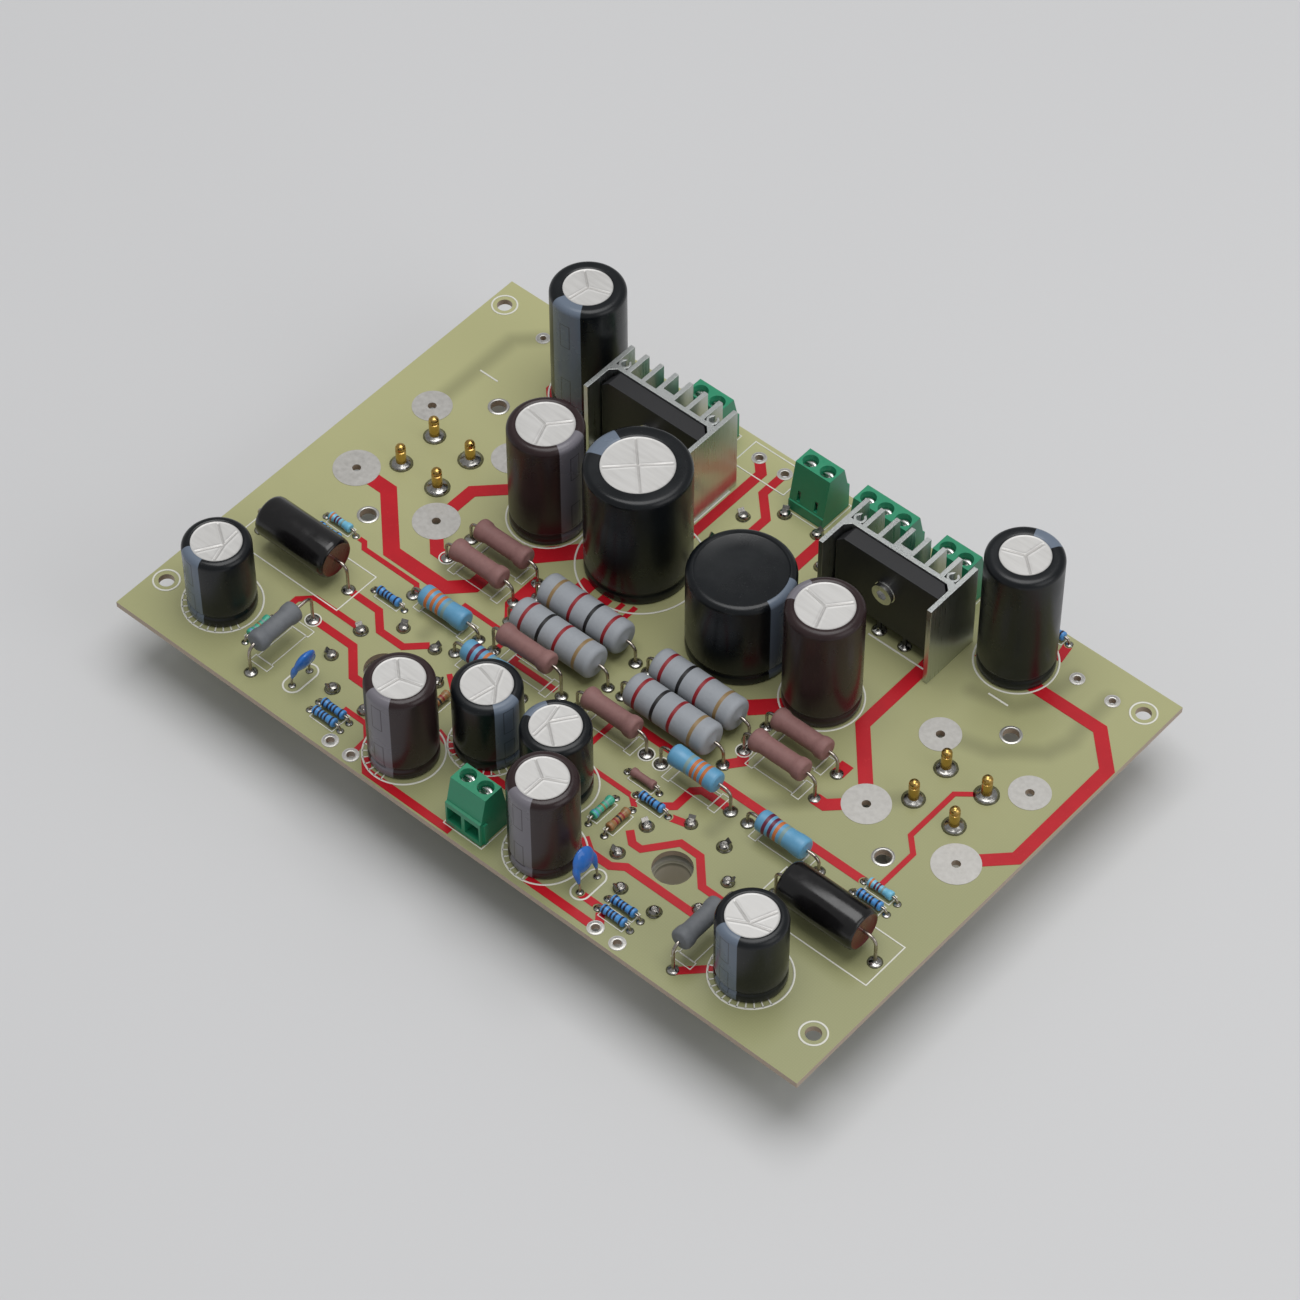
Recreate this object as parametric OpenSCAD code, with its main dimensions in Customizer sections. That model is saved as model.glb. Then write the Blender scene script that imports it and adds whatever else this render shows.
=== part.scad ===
// Stereo valve amplifier board on its five valve sockets, component side up

/* [Board] */
// Length of the board
board_w = 200; // [200:1:240]
// Depth of the board
board_d = 133; // [133:1:160]
// Thickness of the board
board_t = 1.6; // [1.2:0.1:2.4]
// Height of the lacquered tracks and tinned pads above the board
track_t = 0.1; // [0.05:0.05:0.2]
// Bore of the mounting holes
mount_d = 3.7; // [3.2:0.1:4.5]
// Left mounting holes to the left edge
mount_left = 4; // [3.5:0.5:6]
// Right mounting holes to the right edge
mount_right = 5.5; // [3.5:0.5:7]
// Front mounting holes to the front edge
mount_front = 12; // [5:0.5:14]
// Back mounting holes to the back edge
mount_back = 7; // [5:0.5:9]

/* [Valve sockets] */
// Table to the underside tracks, the height of the sockets with their gap
stand_h = 18; // [17:0.5:26]
// Outer diameter of an eight-pin socket
octal_d = 29; // [28.5:0.5:31]
// Circle of the eight-pin socket's soldered tails
octal_tail_circle = 25; // [24.5:0.1:25.5]
// Circle of the eight valve pins
octal_pin_circle = 17.5; // [17:0.1:18]
// Bore for the valve's key post
octal_key_d = 8.2; // [7.8:0.1:8.6]
// Window in the board over the key bore
octal_window_d = 9.2; // [8:0.1:10]
// Solder dome over each eight-pin tail
octal_dome_d = 3; // [2.8:0.1:3.6]
// Outer diameter of a four-pin socket
output_d = 27; // [26:0.5:30]
// Side of the square of four gold contacts
output_square = 11.3; // [10.8:0.1:11.8]
// Diameter of a gold contact tail
gold_d = 2.5; // [2:0.1:2.6]
// Height of a gold contact tail above the board
gold_up = 6.5; // [5:0.5:8]
// Contact pads around a four-pin socket, left to right
pad_span_x = 25; // [24:0.5:26]
// Contact pads around a four-pin socket, front to back
pad_span_y = 25.7; // [25:0.1:27]
// Diameter of the two back contact pads
pad_back_d = 9.6; // [8:0.1:10]
// Diameter of the two front contact pads
pad_front_d = 11.2; // [9:0.1:12]

/* [Capacitors] */
// Diameter of the small electrolytic cans
small_can_d = 16; // [14:0.5:17]
// Height of the small black cans
small_black_h = 20.7; // [16:0.1:25]
// Height of the small brown cans
small_brown_h = 25.6; // [20:0.1:32]
// Diameter of the tall and large brown cans
mid_can_d = 18; // [16:0.5:18.5]
// Height of the tall black cans
tall_h = 36; // [30:0.5:40]
// Height of the large brown cans
large_brown_h = 31.5; // [25:0.5:36]
// Diameter of the two reservoir cans
big_can_d = 25; // [22:0.5:26]
// Height of the large black reservoir can
main_h = 33.5; // [25:0.5:40]
// Height of the flat black reservoir can
flat_h = 25.5; // [20:0.5:30]
// Length of a film capacitor
film_len = 21; // [18:0.5:23]
// Diameter of a film capacitor
film_d = 10.2; // [8:0.1:11]
// Lead pitch of a film capacitor
film_pitch = 27.5; // [26.5:0.5:28.5]
// Diameter of a ceramic disc
disc_d = 7.6; // [7:0.1:9]
// Lead pitch of a ceramic disc
disc_pitch = 5.6; // [5:0.1:6.2]

/* [Resistors] */
// Length of a power resistor
power_len = 23.5; // [22:0.5:25.5]
// Diameter of a power resistor
power_d = 8.2; // [7:0.1:8.9]
// Lead pitch of a power resistor
power_pitch = 29.5; // [28.8:0.1:30]
// Length of a wirewound resistor
wound_len = 14.8; // [13:0.1:17]
// Diameter of a wirewound resistor
wound_d = 5.4; // [4.5:0.1:6]
// Lead pitch of a wirewound resistor
wound_pitch = 20.2; // [19.8:0.1:20.6]
// Length of a blue or grey film resistor
film_res_len = 13; // [12:0.5:14.5]
// Diameter of a blue or grey film resistor
film_res_d = 5.2; // [4:0.1:5.6]
// Lead pitch of a blue or grey film resistor
film_res_pitch = 20; // [19.5:0.1:20.5]
// Length of a small resistor
small_res_len = 6.4; // [5.5:0.1:6.8]
// Diameter of a small resistor
small_res_d = 2.4; // [2:0.1:2.6]
// Lead pitch of a small resistor
small_res_pitch = 9.2; // [9:0.1:10]

/* [Screw terminals] */
// Pole to pole
pole_pitch = 5.08; // [5:0.01:5.1]
// Height of a terminal housing
term_h = 14; // [13.5:0.1:16]
// Pole axis to the edge of the board
term_inset = 7.5; // [7:0.1:7.7]
// Diameter of the screw head
screw_head_d = 3.3; // [3:0.1:3.5]
// Diameter of the screw thread
screw_d = 2.3; // [2:0.1:2.4]
// Rise of a clamp from open to closed
clamp_rise = 2; // [1.5:0.1:2.1]

/* [Heatsinks] */
// Length of a heatsink
sink_w = 32; // [31:0.5:33]
// Depth of a heatsink
sink_d = 16.5; // [15:0.5:17]
// Height of a heatsink
sink_h = 24.5; // [24.5:0.5:30]
// Thickness of a heatsink's plates and fins
fin_t = 1.2; // [0.8:0.1:1.3]
// Plates and fins of a heatsink
fin_count = 8; // [5:1:8]
// Front of a heatsink to the face that carries the rectifier
sink_face = 8.7; // [8:0.1:9.5]
// Height of a bridge rectifier's body
bridge_h = 20; // [18:0.5:20.5]
// Thickness of a bridge rectifier's body
bridge_t = 4.4; // [3.6:0.1:4.6]

/* [Leads and fits] */
// Diameter of the thin component leads
thin_lead_d = 0.6; // [0.5:0.05:0.7]
// Diameter of the thick component leads
lead_d = 0.8; // [0.6:0.05:0.9]
// Lead left standing below the board
lead_tail = 1.3; // [1:0.1:1.8]
// Gap between a lead and its solder, and between solder and board
joint_fit = 0.03; // [0.02:0.01:0.05]
// Gap between pieces that slide or turn in each other
slide_fit = 0.1; // [0.05:0.01:0.15]

/* [Hidden] */
$fn = 48;
eps = 0.01;

// Levels of the board above the table
board_z = stand_h + track_t;
top_z = board_z + board_t;
seat_z = top_z + track_t;

// How far each row follows the edges of a deeper or shallower board, by its place: whole at the two edges
edge_share = [[-66.5, -1], [-60.5, -1], [-57.6, -0.93], [-56.4, -0.8], [-41.2, -0.65], [-27.5, 0.15],
    [-21.2, 0.3], [-12.6, 0.54], [-3.3, 0.54], [2.5, 0.74], [16.3, 1], [66.5, 1]];
function row(y) = y + lookup(y, edge_share) * (board_d / 2 + edge_share[0][0]);
function rows(at) = [for (p = at) [p[0], row(p[1])]];

// Places of the pieces, from the middle of the board
octal_at = rows([[-41, -41.3], [43.8, -41], [1.75, 40.8]]);
octal_names = ["left", "right", "rear"];
output_at = rows([[-74.4, 12], [76.8, 13.2]]);
output_names = ["left", "right"];
sink_at = rows([[-33.3, 35.6], [37, 34.6]]);
tall_at = rows([[-61.6, 51.2], [63.8, 53]]);
large_brown_at = rows([[-43.5, 16.4], [37.8, 16.4]]);
main_at = [-18.6, row(19.3)];
flat_at = [14.1, row(16.5)];
small_black_at = rows([[-82, -50.6], [-9, -41.5], [9.9, -40.3], [74.6, -51.3]]);
small_brown_at = rows([[-21.6, -55.5], [20, -55.6]]);
film_at = rows([[-76.6, -29.6], [78.8, -31.8]]);
disc_at = rows([[-53.2, -55.3], [33.1, -56.2]]);
power_at = rows([[-14.5, -12.6], [-14.5, -3.3], [19, -12.4], [18.8, -3.4]]);
wound_at = rows([[-42.4, -8], [-42, -0.2], [44.7, -6.4], [44.1, 2], [-16, -21.2], [9, -21.2]]);
blue_at = rows([[-40.8, -21.2], [-22.2, -27.5], [33.3, -21.2], [58.2, -21.2]]);
grey_at = rows([[-62.8, -51.3], [61.6, -51.4]]);
small_x_at = rows([[-77.3, -16.8], [-77.3, -20.6], [81.9, -16.9], [81.9, -20.6],
    [-40.8, -57.6], [-40.8, -60.5], [43.4, -56.4], [43.4, -59.7],
    [-53.8, -25.8], [29.4, -31.2], [65.3, 64.4], [23.8, -27.6]]);
small_y_at = rows([[22.2, -39.4], [-69.8, -51.3], [27, -39.6], [-24.7, -41]]);

// Terminals: middle, poles, and 1 where the wires come in from the back
terminals = [[3.8, 2, 0], [-31.7, 2, 1], [1.3, 2, 1], [20.8, 3, 1], [41.2, 2, 1]];
terminal_names = ["front", "back_1", "back_2", "back_3", "back_4"];

// Bare holes with a tinned ring: x, y, bore, ring
input_y = -board_d / 2 + 2.6;
ring_gap = 22.25;
wire_pads = [[-36, input_y, 2, 3.9], [-29.8, input_y, 2, 3.9], [41.9, input_y, 2, 3.9],
    [48.1, input_y, 2, 3.9], [-18.6, row(61.8), 2, 3.7], [-10.9, row(61.8), 2, 3.7],
    [-81.8, row(57.4), 1.5, 3.6], [77.4, row(57.7), 1.7, 3.6], [87.2, row(57.7), 1.7, 3.6]];
ring_pads = [for (c = output_at, s = [-1, 1]) [c[0] - 0.6, c[1] + s * ring_gap, 3.8, 5.2]];
contact_pads = [for (c = output_at, sx = [-1, 1], sy = [-1, 1])
    [c[0] + sx * pad_span_x / 2, c[1] + sy * pad_span_y / 2 - 0.6, 2.1, sy > 0 ? pad_back_d : pad_front_d]];
tinned = concat(wire_pads, ring_pads, contact_pads);

// Lacquered tracks on the top: width and route
tracks = [
    [3.3, [[56, 49.6], [90, 49.6], [98.2, 41.4], [98.2, 9.5], [89, 0.3]]],
    [3.3, [[49.6, 40.6], [49.6, 16.4], [64.2, 0]]],
    [1.3, [[82.5, 19], [77, 14.4], [77, -0.6], [80.6, -4.2], [80.6, -16], [77.6, -16.8]]],
    [2.2, [[4, -16.8], [77.4, -16.8]]],
    [2.1, [[43.3, -20.8], [35, -20.8], [33.3, -22.5], [33.3, -28], [31, -30]]],
    [2, [[34, -31.2], [39, -29.8]]],
    [1.3, [[9, -32], [24.2, -32], [26.8, -34]]],
    [1.9, [[30.2, -39.4], [32.9, -41.7], [35.4, -41.7], [40.8, -34.8], [46.3, -34.8], [52, -40.8], [61.6, -40.8]]],
    [2.1, [[24, -47.2], [27.5, -49.5], [33.3, -49.5], [36.2, -47.4], [55.2, -47.4]]],
    [2, [[33.1, -59.2], [39.2, -59.2], [41.9, -62.6]]],
    [2.2, [[22, -63.8], [41.9, -63.8]]],
    [2.1, [[-27, -62], [-24, -65], [1, -65]]],
    [1.3, [[-40, -55.3], [-33.3, -55.3], [-30.2, -58.4], [-29.9, -62.6]]],
    [2.1, [[-62.8, -41], [-50.8, -41], [-44.6, -47.4], [-30, -47.4]]],
    [1.9, [[-62.9, -29.6], [-53.5, -29.6], [-49.2, -33.8], [-42.2, -33.8], [-37.9, -29.6]]],
    [1.3, [[-29, -32.8], [-24.8, -36]]],
    [1.3, [[-40.4, -15.8], [-26, -15.8], [-26, -21]]],
    [3.9, [[-87, -1.6], [-76.7, -1.6], [-63.3, -14.9], [-47, -14.9], [-42.3, -10.2], [-42.3, -5]]],
    [4.2, [[-31.6, 1], [-31.6, -8.4], [-28, -12.6]]],
    [1.6, [[-20.8, -17.5], [-20.8, -20.8], [-8, -20.8]]],
    [4.6, [[-38.4, 5], [-29, 15.4]]],
    [4.2, [[-23.1, 8], [-23.1, -2]]],
    [3, [[-17.1, 7], [-17.1, -2]]],
    [1.2, [[-13.2, 8], [-13.2, -2]]],
    [1.3, [[-10.4, 9], [-10.4, -2]]],
    [2.6, [[-18.6, 61.8], [-15.2, 58.4], [-15.2, 32]]],
    [2.2, [[-10.9, 61.8], [-10.9, 54], [-5.3, 48.4], [-5.3, 40]]],
    [2.9, [[8.8, 52], [8.8, 38]]],
    [4.4, [[27.2, 3.2], [36, 12]]],
    [2.6, [[34.6, -6.4], [36.4, -9], [33.7, -12.4]]],
    [3.2, [[54.3, 5.6], [54.3, 2]]],
    [3.2, [[64.2, 0], [57.6, -6.4], [54.8, -6.4]]],
    [3.2, [[-61.9, -1.6], [-55.6, -8], [-52.5, -8]]],
    [3.3, [[-61.9, -1.6], [-61.9, 10.6], [-55, 17.5], [-46, 17.5]]],
    [3.3, [[-69, 52], [-69, 46.6], [-62.4, 40], [-48, 40]]],
    [1.3, [[-72.8, -16.8], [-70, -16.8], [-68.6, -18.3], [-52.4, -18.3], [-50.8, -20]]],
    [1.6, [[-69.8, -46.4], [-69.8, -39.2], [-66.8, -36.2], [-53, -36.2]]],
    [2, [[61.6, -61.8], [68.4, -55]]],
    [2.2, [[69.9, 64.4], [70.8, 59]]],
    [1.8, [[-20, -46.4], [-14, -48], [3, -48]]],
    [1.4, [[7.8, -20], [7.8, -30]]]];
// Tracks on the underside
under_tracks = [
    [3, [[-81.8, 57.4], [-86.9, 52.3], [-86.9, 24.3]]],
    [3, [[87.2, 57.7], [87.2, 44], [70.4, 26.4], [64.3, 26]]],
    [3, [[77.4, 57.7], [77.4, 50], [60, 50]]],
    [2.4, [[-68.7, 6.3], [-41, -20], [-41, -28]]],
    [2.4, [[71.1, 7.5], [43.8, -18], [43.8, -28]]]];

// Eight-pin sockets
octal_tail = [0.5, 1.8];
octal_strap_z = 11;
octal_strap_t = 0.5;
octal_tube = [1.2, 1.6];
octal_foot_h = 6;
octal_step = 0.7;
tail_clear = 0.7;
socket_gap = lead_tail + tail_clear;
socket_top = stand_h - socket_gap;
octal_dome_h = 1.3;
octal_angles = [22.5 : 45 : 337.5];
octal_hole_d = norm(octal_tail) + 0.4;

// Four-pin sockets
collet = [2.1, 2.8];
collet_slit = 0.5;
output_foot_h = 4.5;
output_step = 1;
gold_joint_d = 5.8;
gold_joint_h = 2.2;
gold_hole_gap = 0.35;
output_corners = [for (sx = [-1, 1], sy = [-1, 1]) [sx, sy] * output_square / 2];

// Electrolytic cans
can_shoulder = 1.6;
can_recess = 0.4;
tall_rim = 3.2;
main_rim = 4;
brown_rim = 2.25;
flat_rim = 1.8;
small_rim = 2.15;
can_bead = 0.4;
vent_w = 0.9;
vent_depth = 0.3;
vent_hub = 2;
tall_turn = [20, 80];
small_black_turn = [192, 212, 8, 113];
small_brown_turn = [18, 29];
small_can_pitch = 7.5;
big_can_pitch = 10;

// Heights of the bodies that hang on their leads, above the board
film_axis = 8;
power_axis = 5.9;
wound_axis = [5.8, 6, 7, 5.8, 8.8, 6.4];
blue_axis = [3.4, 4.6, 6.9, 4.6];
grey_axis = 8.2;
small_res_axis = 1.5;
disc_axis = 8;
disc_t = 3;
grey_shift = -1.5;
lead_bend = 1.2;
small_bend = 0.7;

// Heatsinks and rectifiers
fin_step = (sink_w - fin_t) / (fin_count - 1);
mid_fin = floor(fin_count / 2);
gusset = 1.4;
boss = [0.9, 1.5];
boss_slot = 0.8;
boss_y = sink_face + fin_t + boss[1] - 0.3;
boss_x = sink_w / 2 - fin_t - boss[1] - 0.1;
sink_pin_d = 2 * (boss[0] - slide_fit / 2);
sink_pin_up = 8;
bridge_w = sink_w - 2 * fin_t - 0.6;
bridge_z = 4;
bridge_chamfer = gusset + 0.3;
bridge_lead = [1.1, 0.7];
bridge_leads_x = [-12, -1.8, 5.5, 12.8];
bridge_lead_y = sink_face - bridge_t * 0.8;
fix_d = 3;
fix_x = (mid_fin - fin_count / 2) * fin_step;
fix_z = 15.5;
fix_washer = [5.8, 0.3];
fix_head = [5.4, 1.2];
fix_socket = [2.8, 0.8];
fix_tail = 1.2;

// Screw terminals: wall in front of the pole axis, behind it, and the steps of the housing
term_front = 5;
term_back = 4.6;
term_ledge = 7.4;
term_top = [-2.9, 2.3];
term_floor = 1;
cage_w = 3.9;
cage_y = 2.1;
cage_wall = 0.6;
cage_top = 1;
cage_rest_z = term_floor + 0.2;
cage_h = 6.7;
cell_w = cage_w + 2 * slide_fit;
cell_h = cage_h + clamp_rise + 0.4;
cell_y = cage_y + 2 * slide_fit;
cell_top = cage_rest_z + cell_h;
head_seat = cell_top + 0.6;
head_h = 1.5;
head_hole_d = screw_head_d + 0.5;
drive_slot = [0.7, 0.8];
entry = [cell_w, 4.6];
bar_w = cage_w - 2 * cage_wall - 0.3;
bar_t = 0.8;
bar_z = 5.2;
leg = [0.9, 0.6];
leg_y = cell_y + 0.2;
leg_slot_w = leg[0] + 2 * slide_fit;
leg_room = leg[1] + 0.4;
rib = [0.5, 1.1, 6.5];
poles = [for (i = [0 : len(terminals) - 1], p = [0 : terminals[i][1] - 1]) [i, p]];
pole_names = [for (p = poles) str(terminal_names[p[0]], "_pole_", p[1] + 1)];

// Solder joints: size of the fillet round a lead, and bore of its hole
fillet_up = 0.7;
fillet_out = 0.85;
hole_gap = 0.35;

// Where a terminal stands on the board, and where each of its poles is
function side_y(t) = (t[2] == 1 ? 1 : -1) * (board_d / 2 - term_inset);
function pole_x(t, p) = t[0] + (p - (t[1] - 1) / 2) * pole_pitch;
function pole_leg(t, p) = [pole_x(t, p), side_y(t) + (t[2] == 1 ? -1 : 1) * (leg_y + leg[1] / 2)];

// Lead holes of the pieces that lie along X or along Y
function pair_x(c, pitch) = [c - [pitch / 2, 0], c + [pitch / 2, 0]];
function pair_y(c, pitch) = [c - [0, pitch / 2], c + [0, pitch / 2]];
function pairs_x(at, pitch, r) = [for (c = at, p = pair_x(c, pitch)) [p[0], p[1], r]];
function pairs_y(at, pitch, r) = [for (c = at, p = pair_y(c, pitch)) [p[0], p[1], r]];

// Joints that show on both sides, as x, y and radius of the lead
open_joints = concat(
    pairs_x(film_at, film_pitch, lead_d / 2),
    pairs_y(disc_at, disc_pitch, thin_lead_d / 2),
    pairs_x(power_at, power_pitch, lead_d / 2),
    pairs_x(wound_at, wound_pitch, lead_d / 2),
    pairs_x(blue_at, film_res_pitch, lead_d / 2),
    pairs_y(grey_at, film_res_pitch, lead_d / 2),
    pairs_x(small_x_at, small_res_pitch, thin_lead_d / 2),
    pairs_y(small_y_at, small_res_pitch, thin_lead_d / 2),
    [for (s = sink_at, x = bridge_leads_x) [s[0] + x, s[1] + bridge_lead_y, norm(bridge_lead) / 2]]);
// Joints that a piece covers from above
covered_joints = concat(
    pairs_x(concat(tall_at, large_brown_at, small_black_at, small_brown_at), small_can_pitch, lead_d / 2),
    pairs_x([main_at, flat_at], big_can_pitch, lead_d / 2),
    [for (s = sink_at, d = [-1, 1]) [s[0] + d * boss_x, s[1] + boss_y, sink_pin_d / 2]],
    [for (p = poles) concat(pole_leg(terminals[p[0]], p[1]), [norm(leg) / 2])]);
gold_tails = [for (c = output_at, d = output_corners) c + d];
octal_tails = [for (c = octal_at, a = octal_angles) concat(c + octal_tail_circle / 2 * [cos(a), sin(a)], [a])];

module on_board() {
    translate([0, 0, top_z]) children();
}

module at(c, z = 0) {
    translate([c[0], c[1], z]) children();
}

// Outline of a track: the route moved half its width to each side, with mitred corners
function turned(v) = [-v[1], v[0]] / norm(v);
function mitre(p, i) = let (
    before = turned(p[max(i, 1)] - p[max(i, 1) - 1]),
    after = turned(p[min(i + 1, len(p) - 1)] - p[min(i, len(p) - 2)]))
    (before + after) / (1 + before * after);
function strip(p, w) = concat(
    [for (i = [0 : len(p) - 1]) p[i] + mitre(p, i) * w / 2],
    [for (i = [len(p) - 1 : -1 : 0]) p[i] - mitre(p, i) * w / 2]);

function arc(c, r, from, to, steps = 5) =
    [for (i = [0 : steps]) c + r * [cos(from + (to - from) * i / steps), sin(from + (to - from) * i / steps)]];

module circuit_board() {
    drill_z = -board_t - 1;
    drill_h = board_t + 2;
    color("darkkhaki") on_board() difference() {
        translate([-board_w / 2, -board_d / 2, -board_t]) cube([board_w, board_d, board_t]);
        for (x = [mount_left - board_w / 2, board_w / 2 - mount_right])
            for (y = [mount_front - board_d / 2, board_d / 2 - mount_back])
                at([x, y], drill_z) cylinder(d = mount_d, h = drill_h);
        for (p = tinned) at(p, drill_z) cylinder(d = p[2], h = drill_h);
        for (p = concat(open_joints, covered_joints)) at(p, drill_z) cylinder(r = p[2] + hole_gap, h = drill_h);
        for (p = gold_tails) at(p, drill_z) cylinder(d = gold_d + 2 * gold_hole_gap, h = drill_h);
        for (p = octal_tails) at(p, drill_z) cylinder(d = octal_hole_d, h = drill_h);
        for (p = octal_at) at(p, drill_z) cylinder(d = octal_window_d, h = drill_h);
    }
}

// Room that the tracks leave round every pad, joint and hole
module copper_gaps() {
    gap = 0.05;
    for (p = tinned) at(p, -eps) cylinder(d = p[3] + gap, h = track_t + 2 * eps);
    for (p = concat(open_joints, covered_joints))
        at(p, -eps) cylinder(r = p[2] + fillet_out + gap, h = track_t + 2 * eps);
    for (p = gold_tails) at(p, -eps) cylinder(d = gold_joint_d + gap, h = track_t + 2 * eps);
    for (p = octal_tails) at(p, -eps) cylinder(d = octal_dome_d + gap, h = track_t + 2 * eps);
    for (p = octal_at) at(p, -eps) cylinder(d = octal_window_d + gap, h = track_t + 2 * eps);
}

module track_layer(routes) {
    difference() {
        union() for (r = routes) linear_extrude(track_t) polygon(strip(rows(r[1]), r[0]));
        copper_gaps();
    }
}

module lacquered_tracks() {
    color("firebrick") {
        on_board() track_layer(tracks);
        translate([0, 0, board_z - track_t]) track_layer(under_tracks);
    }
}

module tinned_pads() {
    color("silver") for (p = tinned, z = [top_z, board_z - track_t]) at(p, z) difference() {
        cylinder(d = p[3], h = track_t);
        translate([0, 0, -eps]) cylinder(d = p[2], h = track_t + 2 * eps);
    }
}

// Solder that has wicked through a plated hole, with a hollow fillet on each open side
module solder_spool(r, up, down, out, open_top) {
    bore = r + joint_fit;
    barrel = r + hole_gap - joint_fit;
    lip = bore + 0.15;
    foot = r + out;
    waist = bore + (foot - bore) * 0.4;
    above = open_top ? [[foot, 0], [waist, up * 0.35], [lip, up], [bore, up]] : [[bore, 0]];
    rotate_extrude() polygon(concat(
        [[bore, -board_t - down], [lip, -board_t - down], [waist, -board_t - down * 0.35], [foot, -board_t],
        [barrel, -board_t], [barrel, 0]],
        above));
}

module gold_fillet() {
    bore = gold_d / 2 + joint_fit;
    barrel = gold_d / 2 + gold_hole_gap - joint_fit;
    foot = gold_joint_d / 2;
    rotate_extrude() polygon([[bore, -board_t], [barrel, -board_t], [barrel, 0], [foot, 0], [foot - 0.1, 0.35],
        [bore + 0.6, gold_joint_h * 0.5], [bore + 0.15, gold_joint_h], [bore, gold_joint_h]]);
}

module solder_joints() {
    down = lead_tail - 0.3;
    color("gainsboro") on_board() {
        for (p = open_joints) at(p) solder_spool(p[2], fillet_up, down, fillet_out, true);
        for (p = covered_joints) at(p) solder_spool(p[2], fillet_up, down, fillet_out, false);
        for (p = gold_tails) at(p) gold_fillet();
    }
}

// Ceramic body with a foot, eight pin bores, a keyed post bore and open channels for the contacts
module octal_socket(c) {
    channel_w = octal_tail[1] + 0.4;
    channel_in = octal_pin_circle / 2 - octal_tube[1] - 0.2;
    channel_out = octal_tail_circle / 2 + octal_tail[0] + 0.2;
    key = [1.6, 1.3];
    r = octal_d / 2;
    neck = r - octal_step;
    color("whitesmoke") at(c) difference() {
        rotate_extrude() polygon([[0, 0], [r - 0.6, 0], [r, 0.6], [r, octal_foot_h - 0.6], [r - 0.6, octal_foot_h],
            [neck, octal_foot_h + 0.6], [neck, socket_top - 0.6], [neck - 0.6, socket_top], [0, socket_top]]);
        translate([0, 0, -1]) cylinder(d = octal_key_d, h = socket_top + 2);
        translate([-key[0] / 2, -octal_key_d / 2 - key[1], -1]) cube([key[0], octal_key_d / 2, socket_top + 2]);
        for (a = octal_angles) rotate(a) {
            translate([octal_pin_circle / 2, 0, -1])
                cylinder(r = octal_tube[1] + slide_fit, h = octal_strap_z + octal_strap_t + slide_fit + 1);
            translate([channel_in, -channel_w / 2, octal_strap_z - slide_fit])
                cube([channel_out - channel_in, channel_w, socket_top]);
        }
    }
}

// One contact: a tube for the valve pin, a strap, a tail through the board and its solder dome
module octal_contact() {
    tube_z = 2;
    tube_x = octal_pin_circle / 2;
    tail_x = octal_tail_circle / 2;
    bent = [0.4, 1.6, 1.7];
    difference() {
        union() {
            translate([tube_x, 0, tube_z]) cylinder(r = octal_tube[1], h = octal_strap_z + octal_strap_t - tube_z);
            translate([tube_x, -octal_tail[1] / 2, octal_strap_z])
                cube([tail_x + octal_tail[0] / 2 - tube_x, octal_tail[1], octal_strap_t]);
        }
        translate([tube_x, 0, tube_z - 1]) cylinder(r = octal_tube[0], h = octal_strap_z - tube_z + 1);
    }
    translate([tail_x - octal_tail[0] / 2, -octal_tail[1] / 2, octal_strap_z])
        cube([octal_tail[0], octal_tail[1], top_z - octal_strap_z + 0.2]);
    translate([tail_x, 0, top_z]) {
        rotate_extrude() polygon(concat([[0, 0]], arc([0, 0], octal_dome_d / 2, 0, 45, 3),
            [[0.6, octal_dome_h], [0, octal_dome_h]]));
        translate([0, -bent[1] / 2, octal_dome_h - 0.6]) rotate([0, 48, 0]) cube(bent);
    }
}

module octal_contacts() {
    color("lightgray") for (c = octal_at, a = octal_angles) at(c) rotate(a) octal_contact();
}

module output_socket(c) {
    r = output_d / 2;
    neck = r - output_step;
    color("ghostwhite") at(c) difference() {
        rotate_extrude() polygon([[0, 0], [r - 0.8, 0], [r, 0.8], [r, output_foot_h - 0.8], [r - 0.8, output_foot_h],
            [neck, output_foot_h + 0.8], [neck, socket_top - 0.8], [neck - 0.8, socket_top], [0, socket_top]]);
        for (d = output_corners) at(d, -1) cylinder(r = collet[1] + slide_fit / 2, h = socket_top + 2);
    }
}

// A turned gold contact: slit collet below, collar under the board, necked tail above it
module gold_contact() {
    collet_z = 1.5;
    bore_h = socket_top - collet_z - 3;
    slit_h = bore_h * 0.7;
    tail_z = top_z + gold_up;
    r = gold_d / 2;
    difference() {
        rotate_extrude() polygon(concat(
            [[0, collet_z], [collet[1] - 0.3, collet_z], [collet[1], collet_z + 0.3], [collet[1], socket_top],
            [collet[1] - 0.5, socket_top], [collet[1] - 0.5, board_z], [r, board_z], [r, tail_z - 2],
            [r * 0.72, tail_z - 1.8], [r * 0.72, tail_z - 1.5], [r, tail_z - 1.3]],
            arc([0, tail_z - r], r, 0, 90)));
        translate([0, 0, collet_z - eps]) cylinder(r = collet[0], h = bore_h);
        for (a = [0, 90]) rotate(a) translate([-collet[1] - 1, -collet_slit / 2, collet_z - eps])
            cube([2 * collet[1] + 2, collet_slit, slit_h]);
    }
}

module output_contacts() {
    color("goldenrod") for (p = gold_tails) at(p) gold_contact();
}

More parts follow.
